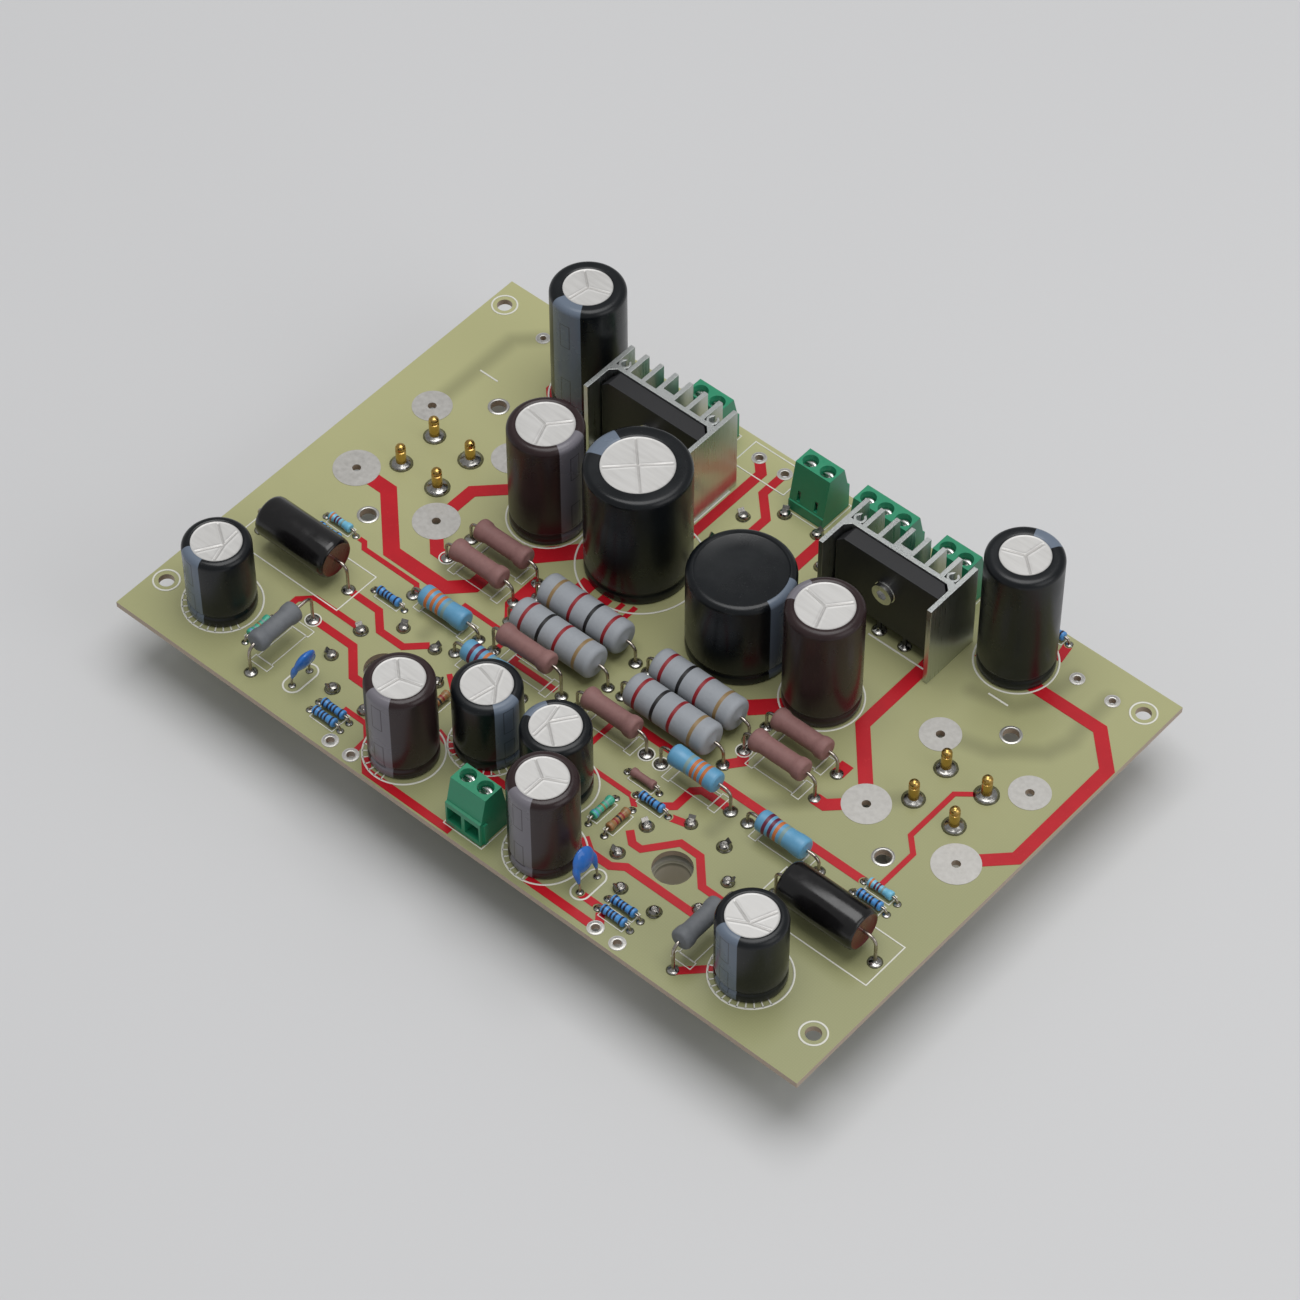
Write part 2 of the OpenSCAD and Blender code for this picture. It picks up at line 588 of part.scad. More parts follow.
// Extruded heatsink: end plates, fins behind the face, gussets, and split bosses for the pins
module heatsink(c) {
    web_x = sink_w / 2;
    color("lightsteelblue") at(c, seat_z) difference() {
        union() {
            translate([-web_x, sink_face, 0]) cube([sink_w, fin_t, sink_h]);
            for (i = [0 : fin_count - 1]) {
                front = i == 0 || i == fin_count - 1 ? 0 : sink_face;
                translate([-web_x + i * fin_step, front, 0]) cube([fin_t, sink_d - front, sink_h]);
            }
            translate([-web_x + (mid_fin - 1) * fin_step, sink_face, 0]) cube([fin_step, 2 * fin_t, sink_h]);
            for (m = [0, 1]) mirror([m, 0, 0]) {
                translate([web_x - fin_t, sink_face, 0]) linear_extrude(sink_h)
                    polygon([[0, 0], [0, -gusset], [-gusset, 0]]);
                translate([boss_x, boss_y, 0]) cylinder(r = boss[1], h = sink_h);
            }
        }
        for (m = [0, 1]) mirror([m, 0, 0]) {
            translate([boss_x, boss_y, -1]) cylinder(r = boss[0], h = sink_h + 2);
            translate([boss_x - boss_slot / 2, boss_y, -1]) cube([boss_slot, 2 * boss[1], sink_h + 2]);
        }
        translate([fix_x, sink_face - 1, fix_z]) rotate([-90, 0, 0])
            cylinder(d = fix_d + slide_fit, h = 2 * fin_t + 2);
    }
}

module heatsink_pins() {
    color("gray") for (c = sink_at, d = [-1, 1])
        at(c + [d * boss_x, boss_y], top_z - board_t - lead_tail)
            cylinder(d = sink_pin_d, h = board_t + lead_tail + track_t + sink_pin_up);
}

module heatsink_screws() {
    front = sink_face - bridge_t;
    color("silver") for (c = sink_at) at(c + [fix_x, front], seat_z + fix_z) rotate([-90, 0, 0]) {
        translate([0, 0, -fix_washer[1]]) cylinder(d = fix_washer[0], h = fix_washer[1]);
        translate([0, 0, -fix_washer[1] - fix_head[1]]) difference() {
            cylinder(d = fix_head[0], h = fix_head[1]);
            translate([0, 0, -eps]) cylinder(d = fix_socket[0], h = fix_socket[1], $fn = 6);
        }
        cylinder(d = fix_d, h = bridge_t + 2 * fin_t + fix_tail);
    }
}

// Flat rectifier: back edges chamfered to clear the gussets, one top corner cut, four flat leads
module bridge(c) {
    front = sink_face - bridge_t;
    half = bridge_w / 2;
    corner = 3;
    color("dimgray") at(c, seat_z) {
        difference() {
            translate([0, 0, bridge_z]) linear_extrude(bridge_h) polygon([[-half, front], [half, front],
                [half, sink_face - bridge_chamfer], [half - bridge_chamfer, sink_face],
                [bridge_chamfer - half, sink_face], [-half, sink_face - bridge_chamfer]]);
            translate([fix_x, front - 1, fix_z]) rotate([-90, 0, 0])
                cylinder(d = fix_d + 2 * slide_fit, h = bridge_t + 2);
            translate([-half, front - 1, bridge_z + bridge_h]) rotate([0, 45, 0])
                cube([corner, 2 * (bridge_t + 2), corner], center = true);
        }
        for (x = bridge_leads_x)
            translate([x - bridge_lead[0] / 2, bridge_lead_y - bridge_lead[1] / 2, -track_t - board_t - lead_tail])
                cube([bridge_lead[0], bridge_lead[1], bridge_z + track_t + board_t + lead_tail + 1]);
    }
}

// Stands a terminal at its place with the wire side facing the edge of the board
module at_terminal(t) {
    translate([t[0], side_y(t), seat_z]) rotate(t[2] == 1 ? 180 : 0) children();
}

module at_pole(p) {
    t = terminals[p[0]];
    translate([pole_x(t, p[1]), side_y(t), seat_z]) rotate(t[2] == 1 ? 180 : 0) children();
}

// Moulded housing: stepped front, leaning back, and for each pole a cell, a wire entry and a screw hole
module terminal(t) {
    w = t[1] * pole_pitch;
    step_z = 3;
    slot = [0.9, 3];
    color("seagreen") at_terminal(t) difference() {
        union() {
            translate([-w / 2, 0, 0]) rotate([90, 0, 90]) linear_extrude(w) polygon([[-term_front, 0], [term_back, 0],
                [term_back, step_z], [term_back - 0.3, step_z + 0.2], [term_top[1], term_h], [term_top[0], term_h],
                [-term_front + 0.6, term_ledge + 0.2], [-term_front, term_ledge]]);
            translate([w / 2 - eps, -term_front + 1, 0]) cube(rib);
        }
        for (i = [0 : t[1] - 1]) translate([(i - (t[1] - 1) / 2) * pole_pitch, 0, 0]) {
            translate([-cell_w / 2, -cell_y, term_floor]) cube([cell_w, 2 * cell_y, cell_top - term_floor]);
            translate([-entry[0] / 2, -term_front - 1, term_floor + 0.4]) cube([entry[0], term_front, entry[1]]);
            translate([0, 0, cell_top - 1]) cylinder(d = screw_d + 2 * slide_fit, h = term_h);
            translate([0, 0, head_seat]) cylinder(d = head_hole_d, h = term_h);
            translate([-bar_w / 2 - slide_fit, 0, bar_z - slide_fit])
                cube([bar_w + 2 * slide_fit, leg_y + leg_room, bar_t + 2 * slide_fit]);
            translate([-leg_slot_w / 2, leg_y - slide_fit, -1])
                cube([leg_slot_w, leg[1] + 2 * slide_fit, bar_z + 1]);
            translate([-slot[0] / 2, leg_y, step_z + 0.6]) cube([slot[0], term_back, slot[1]]);
        }
    }
}

// Contact bars that the wires are pressed against, each with its solder leg
module terminal_bars() {
    bar_from = -cage_y + 0.2;
    color("darkgray") for (p = poles) at_pole(p) {
        translate([-bar_w / 2, bar_from, bar_z]) cube([bar_w, leg_y + leg[1] - bar_from, bar_t]);
        translate([-leg[0] / 2, leg_y, -track_t - board_t - lead_tail])
            cube([leg[0], leg[1], bar_z + bar_t + track_t + board_t + lead_tail]);
    }
}

module terminal_screw(p) {
    foot = bar_z + bar_t + 0.05;
    head_z = head_seat + 0.05;
    color("silver") at_pole(p) difference() {
        union() {
            translate([0, 0, foot]) cylinder(d = screw_d, h = head_z - foot);
            translate([0, 0, head_z]) cylinder(d = screw_head_d, h = head_h);
        }
        translate([-screw_head_d, -drive_slot[0] / 2, head_z + head_h - drive_slot[1]])
            cube([2 * screw_head_d, drive_slot[0], 1 + drive_slot[1]]);
    }
}

// Rising clamp: a square cage round the bar and the wire, threaded on the screw
module terminal_clamp(p) {
    color("lightgray") at_pole(p) translate([0, 0, cage_rest_z]) difference() {
        translate([-cage_w / 2, -cage_y, 0]) cube([cage_w, 2 * cage_y, cage_h]);
        translate([-cage_w / 2 + cage_wall, -cage_y - 1, cage_wall])
            cube([cage_w - 2 * cage_wall, 2 * cage_y + 2, cage_h - cage_wall - cage_top]);
        translate([0, 0, cage_h - cage_top - 1]) cylinder(d = screw_d + slide_fit, h = cage_top + 2);
    }
}

// Length of a score from a hub beside the middle of the disc to the disc's edge
function score(hub, r, a) = hub * cos(a) + sqrt(r * r - pow(hub * sin(a), 2));

// Electrolytic can: bung recess, beaded neck, round shoulder, and a scored top inside the sleeve's rim
module can(d, h, rim, pitch, vents, turn, hub = 0) {
    r = d / 2;
    disc_r = r - rim;
    seat = track_t;
    neck_z = 3;
    difference() {
        translate([0, 0, seat]) rotate_extrude() polygon(concat(
            [[0, 0.5], [r - 2, 0.5], [r - 1.6, 0], [r - 0.6, 0], [r, 0.6], [r, neck_z - 0.8], [r - can_bead, neck_z],
            [r, neck_z + 0.8]],
            arc([r - can_shoulder, h - can_shoulder], can_shoulder, 0, 90),
            [[disc_r + 0.15, h], [disc_r, h - can_recess], [0, h - can_recess]]));
        translate([0, 0, seat + h - can_recess - vent_depth]) rotate(turn) for (a = vents)
            translate([-hub, 0, 0]) rotate(a) translate([0, -vent_w / 2, 0])
                cube([score(hub, disc_r - 0.6, a), vent_w, can_recess + 1]);
    }
    for (s = [-1, 1]) translate([s * pitch / 2, 0, -board_t - lead_tail])
        cylinder(d = lead_d, h = board_t + lead_tail + seat + 1);
}

module tall_capacitors() {
    color("black") on_board() for (i = [0 : len(tall_at) - 1]) at(tall_at[i])
        can(mid_can_d, tall_h, tall_rim, small_can_pitch, [0, 120, 240], tall_turn[i]);
}

module large_brown_capacitors() {
    color("saddlebrown") on_board() for (c = large_brown_at) at(c)
        can(mid_can_d, large_brown_h, brown_rim, small_can_pitch, [0, 120, 240], 50);
}

module main_capacitor() {
    color("black") on_board() at(main_at)
        can(big_can_d, main_h, main_rim, big_can_pitch, [0, 90, 180, 270], 45);
}

module flat_capacitor() {
    color("black") on_board() at(flat_at) can(big_can_d, flat_h, flat_rim, big_can_pitch, [], 0);
}

module small_black_capacitors() {
    color("black") on_board() for (i = [0 : len(small_black_at) - 1]) at(small_black_at[i])
        can(small_can_d, small_black_h, small_rim, small_can_pitch, [-96, -46, 46, 96], small_black_turn[i], vent_hub);
}

module small_brown_capacitors() {
    color("saddlebrown") on_board() for (i = [0 : len(small_brown_at) - 1]) at(small_brown_at[i])
        can(small_can_d, small_brown_h, small_rim, small_can_pitch, [0, 120, 240], small_brown_turn[i]);
}

// One bent lead: along X from the body, round a bend, and down through the board
module bent_lead(body_x, pad_x, axis, d, bend) {
    inside = 0.6;
    foot = -board_t - lead_tail;
    translate([body_x - inside, 0, axis]) rotate([0, 90, 0]) cylinder(d = d, h = pad_x - bend - body_x + inside);
    translate([pad_x - bend, 0, axis - bend]) rotate([90, 0, 0]) rotate_extrude(angle = 90)
        translate([bend, 0]) circle(d = d);
    translate([pad_x, 0, foot]) cylinder(d = d, h = axis - bend - foot);
}

// A body turned about X, with wider or narrower ends, on two bent leads, moved along X between them
module axial(len, d_mid, d_end, cap, axis, pitch, lead, bend, shift = 0) {
    half = len / 2;
    edge = d_end * 0.12;
    blend = cap + 0.8;
    translate([shift, 0, axis]) rotate([0, 90, 0]) rotate_extrude() polygon([[0, -half], [d_end / 2 - edge, -half],
        [d_end / 2, edge - half], [d_end / 2, cap - half], [d_mid / 2, blend - half], [d_mid / 2, half - blend],
        [d_end / 2, half - cap], [d_end / 2, half - edge], [d_end / 2 - edge, half], [0, half]]);
    for (m = [0, 1]) mirror([m, 0, 0]) bent_lead(half + (1 - 2 * m) * shift, pitch / 2, axis, lead, bend);
}

module film_capacitors() {
    crimp = 1.4;
    color("black") on_board() for (c = film_at) at(c)
        axial(film_len, film_d, film_d - crimp, 1, film_axis, film_pitch, lead_d, lead_bend);
}

// Dipped disc on two straight leads
module ceramic_capacitors() {
    r = disc_d / 2;
    rim = 0.7;
    color("royalblue") on_board() for (c = disc_at) at(c) {
        translate([0, 0, disc_axis]) rotate([0, 90, 0]) rotate_extrude() polygon(concat(
            [[0, -disc_t / 2], [r * 0.45, -disc_t / 2]], arc([r - rim, 0], rim, -70, 70, 4),
            [[r * 0.45, disc_t / 2], [0, disc_t / 2]]));
        for (s = [-1, 1]) translate([0, s * disc_pitch / 2, -board_t - lead_tail])
            cylinder(d = thin_lead_d, h = board_t + lead_tail + disc_axis - r * 0.5);
    }
}

module power_resistors() {
    color("lightslategray") on_board() for (c = power_at) at(c)
        axial(power_len, power_d, power_d, 2, power_axis, power_pitch, lead_d, lead_bend);
}

module wirewound_resistors() {
    waist = 0.8;
    color("rosybrown") on_board() for (i = [0 : len(wound_at) - 1]) at(wound_at[i])
        axial(wound_len, wound_d - waist, wound_d, 2, wound_axis[i], wound_pitch, lead_d, lead_bend);
}

module blue_resistors() {
    waist = 0.4;
    color("skyblue") on_board() for (i = [0 : len(blue_at) - 1]) at(blue_at[i])
        axial(film_res_len, film_res_d - waist, film_res_d, 3, blue_axis[i], film_res_pitch, lead_d, lead_bend);
}

module grey_resistors() {
    waist = 0.7;
    color("slategray") on_board() for (c = grey_at) at(c) rotate(90) axial(film_res_len, film_res_d - waist,
        film_res_d, 3, grey_axis, film_res_pitch, lead_d, lead_bend, grey_shift);
}

module small_resistors() {
    waist = 0.4;
    cap = 1.2;
    on_board() {
        color("cornflowerblue") for (c = small_x_at) at(c) axial(small_res_len, small_res_d - waist, small_res_d,
            cap, small_res_axis, small_res_pitch, thin_lead_d, small_bend);
        color("mediumseagreen") for (c = small_y_at) at(c) rotate(90) axial(small_res_len, small_res_d - waist,
            small_res_d, cap, small_res_axis, small_res_pitch, thin_lead_d, small_bend);
    }
}

circuit_board();
lacquered_tracks();
tinned_pads();
solder_joints();
for (i = [0 : len(octal_at) - 1])
    octal_socket(octal_at[i]);
octal_contacts();
for (i = [0 : len(output_at) - 1])
    output_socket(output_at[i]);
output_contacts();
heatsink(sink_at[0]);  // heatsink_left
heatsink(sink_at[1]);  // heatsink_right
bridge(sink_at[0]);  // bridge_left
bridge(sink_at[1]);  // bridge_right
heatsink_screws();
heatsink_pins();
for (i = [0 : len(terminals) - 1])
    terminal(terminals[i]);
terminal_bars();
for (i = [0 : len(poles) - 1])
    terminal_screw(poles[i]);
for (i = [0 : len(poles) - 1])
    terminal_clamp(poles[i]);
tall_capacitors();
large_brown_capacitors();
main_capacitor();
flat_capacitor();
small_black_capacitors();
small_brown_capacitors();
film_capacitors();
ceramic_capacitors();
power_resistors();
wirewound_resistors();
blue_resistors();
grey_resistors();
small_resistors();
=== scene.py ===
import bpy
import bmesh
import math
import random
from mathutils import Matrix, Vector


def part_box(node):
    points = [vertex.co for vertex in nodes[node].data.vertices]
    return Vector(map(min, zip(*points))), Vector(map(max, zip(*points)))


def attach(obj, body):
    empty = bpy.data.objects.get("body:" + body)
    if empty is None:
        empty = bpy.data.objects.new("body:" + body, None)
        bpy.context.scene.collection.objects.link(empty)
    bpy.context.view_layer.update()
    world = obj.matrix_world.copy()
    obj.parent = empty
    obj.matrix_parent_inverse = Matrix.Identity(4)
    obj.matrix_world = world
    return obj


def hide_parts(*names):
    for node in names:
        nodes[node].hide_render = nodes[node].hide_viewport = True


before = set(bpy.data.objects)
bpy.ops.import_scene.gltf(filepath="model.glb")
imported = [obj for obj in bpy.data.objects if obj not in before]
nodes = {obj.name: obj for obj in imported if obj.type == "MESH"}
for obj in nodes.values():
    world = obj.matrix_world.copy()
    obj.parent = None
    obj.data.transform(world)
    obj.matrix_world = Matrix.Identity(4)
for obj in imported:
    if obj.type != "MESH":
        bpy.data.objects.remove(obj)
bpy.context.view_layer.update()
mm = 0.001
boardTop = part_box("circuit_board")[1].z / mm  # levels in millimetres
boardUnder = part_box("circuit_board")[0].z / mm
seat = boardTop + 0.1
print("frame loaded with", len(nodes), "solids")


# small tools for node trees
def paint(red, green, blue):  # a colour as a picture editor shows it
    def straight(value):
        value = value / 255
        return value / 12.92 if value <= 0.04045 else ((value + 0.055) / 1.055) ** 2.4
    return (straight(red), straight(green), straight(blue), 1.0)


def plug(tree, value, socket):
    if isinstance(value, bpy.types.NodeSocket):
        tree.links.new(value, socket)
    else:
        socket.default_value = value


def addNode(tree, kind, inputs=None, **settings):
    item = tree.nodes.new(kind)
    for key, value in settings.items():
        setattr(item, key, value)
    for key, value in (inputs or {}).items():
        plug(tree, value, item.inputs[key])
    return item


def addObject(name, data):
    item = bpy.data.objects.new(name, data)
    bpy.context.scene.collection.objects.link(item)
    return item


def keepShape(piece):  # what the modifiers make becomes the piece's own plain mesh
    bpy.context.view_layer.update()
    graph = bpy.context.evaluated_depsgraph_get()
    mesh = bpy.data.meshes.new_from_object(piece.evaluated_get(graph), depsgraph=graph)
    piece.modifiers.clear()
    piece.data = mesh
    return piece


def calc(tree, operation, *values):
    item = addNode(tree, "ShaderNodeMath", operation=operation)
    for place, value in enumerate(values):
        plug(tree, value, item.inputs[place])
    return item.outputs[0]


def times(tree, first, second):
    return calc(tree, "MULTIPLY", first, second)


def axesOf(tree, vector):
    return addNode(tree, "ShaderNodeSeparateXYZ", {0: vector}).outputs


def vectorMath(tree, operation, output, first, second, slot=1):
    return addNode(tree, "ShaderNodeVectorMath", {0: first, slot: second}, operation=operation).outputs[output]


def span(tree, value, low, high, toLow=0.0, toHigh=1.0):
    return addNode(tree, "ShaderNodeMapRange", {"Value": value, "From Min": low, "From Max": high,
                   "To Min": toLow, "To Max": toHigh}, interpolation_type="SMOOTHSTEP").outputs["Result"]


def grain(tree, coords, scale, detail=3.0, roughness=0.55, stretch=None):
    if stretch:
        coords = addNode(tree, "ShaderNodeMapping", {"Vector": coords, "Scale": stretch}).outputs["Vector"]
    return addNode(tree, "ShaderNodeTexNoise", {"Vector": coords, "Scale": scale, "Detail": detail,
                   "Roughness": roughness}).outputs["Fac"]


def mixColour(tree, share, first, second):
    item = addNode(tree, "ShaderNodeMix", data_type="RGBA")
    for place, value in ((0, share), (6, first), (7, second)):
        plug(tree, paint(*value) if isinstance(value, tuple) else value, item.inputs[place])
    return item.outputs[2]


def startFinish(name, **sockets):  # a material with its fixed values on the shader itself
    material = bpy.data.materials.new(name)
    material.use_nodes = True
    tree = material.node_tree
    shader = tree.nodes["Principled BSDF"]
    for key, value in sockets.items():
        shader.inputs[key.replace("_", " ")].default_value = value
    coords = addNode(tree, "ShaderNodeTexCoord").outputs["Object"]
    return material, tree, shader, coords


def feed(tree, shader, name, value):
    tree.links.new(value, shader.inputs[name])


def dent(tree, shader, height, strength, depth):
    bump = addNode(tree, "ShaderNodeBump", {"Height": height, "Strength": strength, "Distance": depth * mm})
    feed(tree, shader, "Normal", bump.outputs["Normal"])


def largest(tree, masks):
    result = masks[0]
    for mask in masks[1:]:
        result = calc(tree, "MAXIMUM", result, mask)
    return result


# finishes
laminateLook = {
    "pale": (176, 175, 128), "olive": (150, 151, 109), "rim": (172, 150, 134), "weavePitch": 0.6,
    "bandShade": 0.34, "bandSoft": 2.2, "cloudScale": 38.0, "cloudShare": 0.4, "lean": (-3.5, 6.0),
    "leanSpan": (-0.35, 0.8), "thread": (184, 182, 140), "threadShare": 0.10, "under": (84, 84, 58),
    "rimShare": 0.85,
    "bands": [
        [3.4, (-81.8, 57.4), (-86.9, 52.3), (-86.9, 24.3)],
        [3.4, (86.4, 57.5), (86.4, 50.7), (87.4, 42.7), (85.2, 36.6), (79.6, 32.5), (75.5, 28.9), (64.3, 26)],
        [3.4, (76.8, 57.6), (75.9, 52.2), (75, 46.8), (71.9, 42.3), (62, 40)],
        [2.6, (-68.7, 6.3), (-41, -20), (-41, -28)],
        [2.6, (71.1, 7.5), (43.8, -18), (43.8, -28)],
    ],  # width, then the places along each track below the board
}


def bandMask(tree, flat, start, end, width, soft):  # 1 along a straight run of track below the board
    step = Vector((end[0] - start[0], end[1] - start[1], 0)) * mm
    away = vectorMath(tree, "SUBTRACT", "Vector", flat, (start[0] * mm, start[1] * mm, 0))
    along = vectorMath(tree, "DOT_PRODUCT", "Value", away, tuple(step / step.length_squared))
    share = calc(tree, "MINIMUM", calc(tree, "MAXIMUM", along, 0.0), 1.0)
    near = vectorMath(tree, "SCALE", "Vector", tuple(step), share, "Scale")
    gap = vectorMath(tree, "DISTANCE", "Value", away, near)
    return span(tree, gap, (width / 2 + soft) * mm, max(width / 2 - soft, 0) * mm)


def laminateFinish(look):
    material, tree, shader, coords = startFinish("glassLaminate", Roughness=0.36, Specular_IOR_Level=0.42)
    axes = axesOf(tree, coords)
    flat = addNode(tree, "ShaderNodeCombineXYZ", {"X": axes[0], "Y": axes[1]}).outputs[0]
    cloud = grain(tree, coords, look["cloudScale"], 4.0)
    # painted light: the board is painted paler to the back and left and darker to the front, as light falls off
    # across it, with a cloud of random tone mixed in
    lean = calc(tree, "MULTIPLY_ADD", axes[0], look["lean"][0], times(tree, cloud, look["cloudShare"]))
    paleShare = span(tree, calc(tree, "MULTIPLY_ADD", axes[1], look["lean"][1], lean), *look["leanSpan"])
    colour = mixColour(tree, paleShare, look["olive"], look["pale"])
    pitch = 2 * math.pi / (20 * look["weavePitch"] * mm)
    wave = {"Vector": coords, "Scale": pitch, "Distortion": 0.6, "Detail": 1.0}
    threads = [addNode(tree, "ShaderNodeTexWave", wave, bands_direction=way).outputs["Fac"] for way in ("X", "Y")]
    weave = times(tree, threads[0], threads[1])
    colour = mixColour(tree, times(tree, weave, look["threadShare"]), colour, look["thread"])
    # painted shade: darker bands where the tracks below the board block light coming through the laminate
    masks = [bandMask(tree, flat, route[i], route[i + 1], route[0], look["bandSoft"])
             for route in look["bands"] for i in range(1, len(route) - 1)]
    shade = times(tree, largest(tree, masks), look["bandShade"])
    colour = mixColour(tree, shade, colour, look["under"])
    up = axesOf(tree, addNode(tree, "ShaderNodeNewGeometry").outputs["Normal"])[2]
    side = calc(tree, "LESS_THAN", calc(tree, "ABSOLUTE", up), 0.5)
    colour = mixColour(tree, times(tree, side, look["rimShare"]), colour, look["rim"])
    feed(tree, shader, "Base Color", colour)
    dent(tree, shader, weave, 0.12, 0.03)
    return material


def lacquerFinish(name, deep, bright, roughness):  # lacquer over copper
    material, tree, shader, coords = startFinish(name, Roughness=roughness, Specular_IOR_Level=0.34)
    cloud = grain(tree, coords, 150.0, 4.0)
    speck = span(tree, grain(tree, coords, 1400.0, 2.0), 0.62, 0.75)
    colour = mixColour(tree, cloud, deep, bright)
    colour = mixColour(tree, times(tree, speck, 0.25), colour, (208, 62, 64))
    feed(tree, shader, "Base Color", colour)
    dent(tree, shader, cloud, 0.15, 0.05)
    return material


def metalFinish(name, dull, bright, roughLow, roughHigh, scale, stretch=None, metallic=1.0, bump=0.2, depth=0.05):
    material, tree, shader, coords = startFinish(name, Metallic=metallic)
    cloud = grain(tree, coords, scale, 5.0, 0.6, stretch)
    smear = grain(tree, coords, scale * 0.17, 3.0)
    feed(tree, shader, "Base Color", mixColour(tree, cloud, dull, bright))
    worn = calc(tree, "MULTIPLY_ADD", smear, 0.5, times(tree, cloud, 0.5))
    feed(tree, shader, "Roughness", span(tree, worn, 0.25, 0.75, roughLow, roughHigh))
    dent(tree, shader, cloud, bump, depth)
    return material


def mouldedFinish(name, dark, light, roughness, scale, bump=0.12, specular=0.5):  # plastics, dips and baked coatings
    material, tree, shader, coords = startFinish(name, Specular_IOR_Level=specular)
    cloud = grain(tree, coords, 60.0, 4.0)
    fine = grain(tree, coords, scale, 4.0, 0.6)
    share = calc(tree, "MULTIPLY_ADD", fine, 0.5, times(tree, cloud, 0.5))
    feed(tree, shader, "Base Color", mixColour(tree, share, dark, light))
    feed(tree, shader, "Roughness", span(tree, fine, 0.2, 0.8, roughness - 0.07, roughness + 0.07))
    dent(tree, shader, fine, bump, 0.06)
    return material


octalSpots = [(-41, -41.3), (43.8, -41), (1.75, 40.8)]  # middles of the eight-pin sockets
keyBoreLook = {
    "dark": (214, 208, 196), "light": (236, 232, 222), "paintedBoreShade": (224, 218, 202), "ledge": (140, 136, 118),
    "ledgeAt": (14.6, 15.6), "radius": 5.2, "edge": 0.6, "share": 0.9,
}


def boredFinish(name, look):  # ceramic with painted shade in the bores under the windows, darker towards the top of each bore
    material, tree, shader, coords = startFinish(name, Specular_IOR_Level=0.5)
    axes = axesOf(tree, coords)
    flat = addNode(tree, "ShaderNodeCombineXYZ", {"X": axes[0], "Y": axes[1]}).outputs[0]
    cloud, fine = grain(tree, coords, 60.0, 4.0), grain(tree, coords, 700.0, 4.0, 0.6)
    colour = mixColour(tree, cloud, look["dark"], look["light"])
    rings = []
    for x, y in octalSpots:
        gap = vectorMath(tree, "DISTANCE", "Value", flat, (x * mm, y * mm, 0))
        rings.append(span(tree, gap, look["radius"] * mm, (look["radius"] - look["edge"]) * mm))
    # painted shade: the bore walls are darkened, most near the top of each bore
    upper = span(tree, axes[2], look["ledgeAt"][0] * mm, look["ledgeAt"][1] * mm)
    paintedBoreShade = mixColour(tree, upper, look["paintedBoreShade"], look["ledge"])
    colour = mixColour(tree, times(tree, largest(tree, rings), look["share"]), colour, paintedBoreShade)
    feed(tree, shader, "Base Color", colour)
    feed(tree, shader, "Roughness", span(tree, fine, 0.2, 0.8, 0.27, 0.41))
    dent(tree, shader, fine, 0.12, 0.06)
    return material


# name, dark and light colour, roughness, scale of the grain, bump, specular
mouldedLooks = {
    "ceramic": ("whiteCeramic", (214, 208, 196), (236, 232, 222), 0.34, 700.0),
    "bridge": ("blackMoulding", (16, 16, 18), (34, 34, 37), 0.46, 2600.0, 0.25),
    "green": ("greenMoulding", (26, 124, 90), (46, 150, 110), 0.36, 1500.0, 0.1),
    "film": ("blackTape", (10, 10, 11), (24, 22, 23), 0.20, 400.0, 0.08),
    "epoxy": ("brownEpoxy", (74, 22, 20), (100, 33, 29), 0.3, 500.0, 0.2, 0.3),
    "dip": ("blueDip", (32, 90, 172), (60, 124, 206), 0.18, 300.0, 0.2),
    "powerCoat": ("greyCement", (138, 142, 148), (162, 166, 171), 0.62, 1100.0, 0.5, 0.3),
    "pinkCoat": ("mauveCoat", (112, 78, 76), (156, 118, 114), 0.58, 1000.0, 0.8, 0.3),
    "blueCoat": ("skyBlueCoat", (80, 140, 178), (110, 168, 202), 0.36, 900.0, 0.25),
    "slateCoat": ("slateCoat", (84, 87, 92), (126, 129, 132), 0.55, 1000.0, 0.8, 0.3),
    "smallBlue": ("brightBlueCoat", (54, 124, 196), (92, 158, 216), 0.32, 900.0, 0.2),
    "paleBlue": ("paleBlueCoat", (98, 172, 206), (132, 200, 224), 0.32, 900.0, 0.2),
    "greenCoat": ("seaGreenCoat", (44, 152, 124), (84, 186, 156), 0.32, 900.0, 0.2),
    "carbonCoat": ("brownCoat", (128, 84, 48), (170, 124, 78), 0.34, 900.0, 0.2),
    "redBand": ("redBand", (120, 18, 28), (150, 27, 36), 0.5, 1200.0, 0.2),
    "blackBand": ("blackBand", (14, 14, 16), (34, 32, 34), 0.5, 1200.0, 0.2),
    "goldBand": ("goldBand", (126, 102, 66), (152, 127, 88), 0.4, 1200.0, 0.2),
    "orangeBand": ("orangeBand", (176, 96, 48), (204, 122, 66), 0.44, 1200.0, 0.2),
    "maroonBand": ("maroonBand", (84, 20, 48), (112, 34, 62), 0.44, 1200.0, 0.2),
    "greyBand": ("greyBand", (110, 140, 142), (138, 162, 160), 0.44, 1200.0, 0.2),
    "navyBand": ("navyBand", (14, 18, 44), (34, 36, 66), 0.4, 1200.0, 0.2),
    "palePrint": ("palePrint", (214, 213, 202), (234, 233, 222), 0.5, 800.0, 0.1),
}
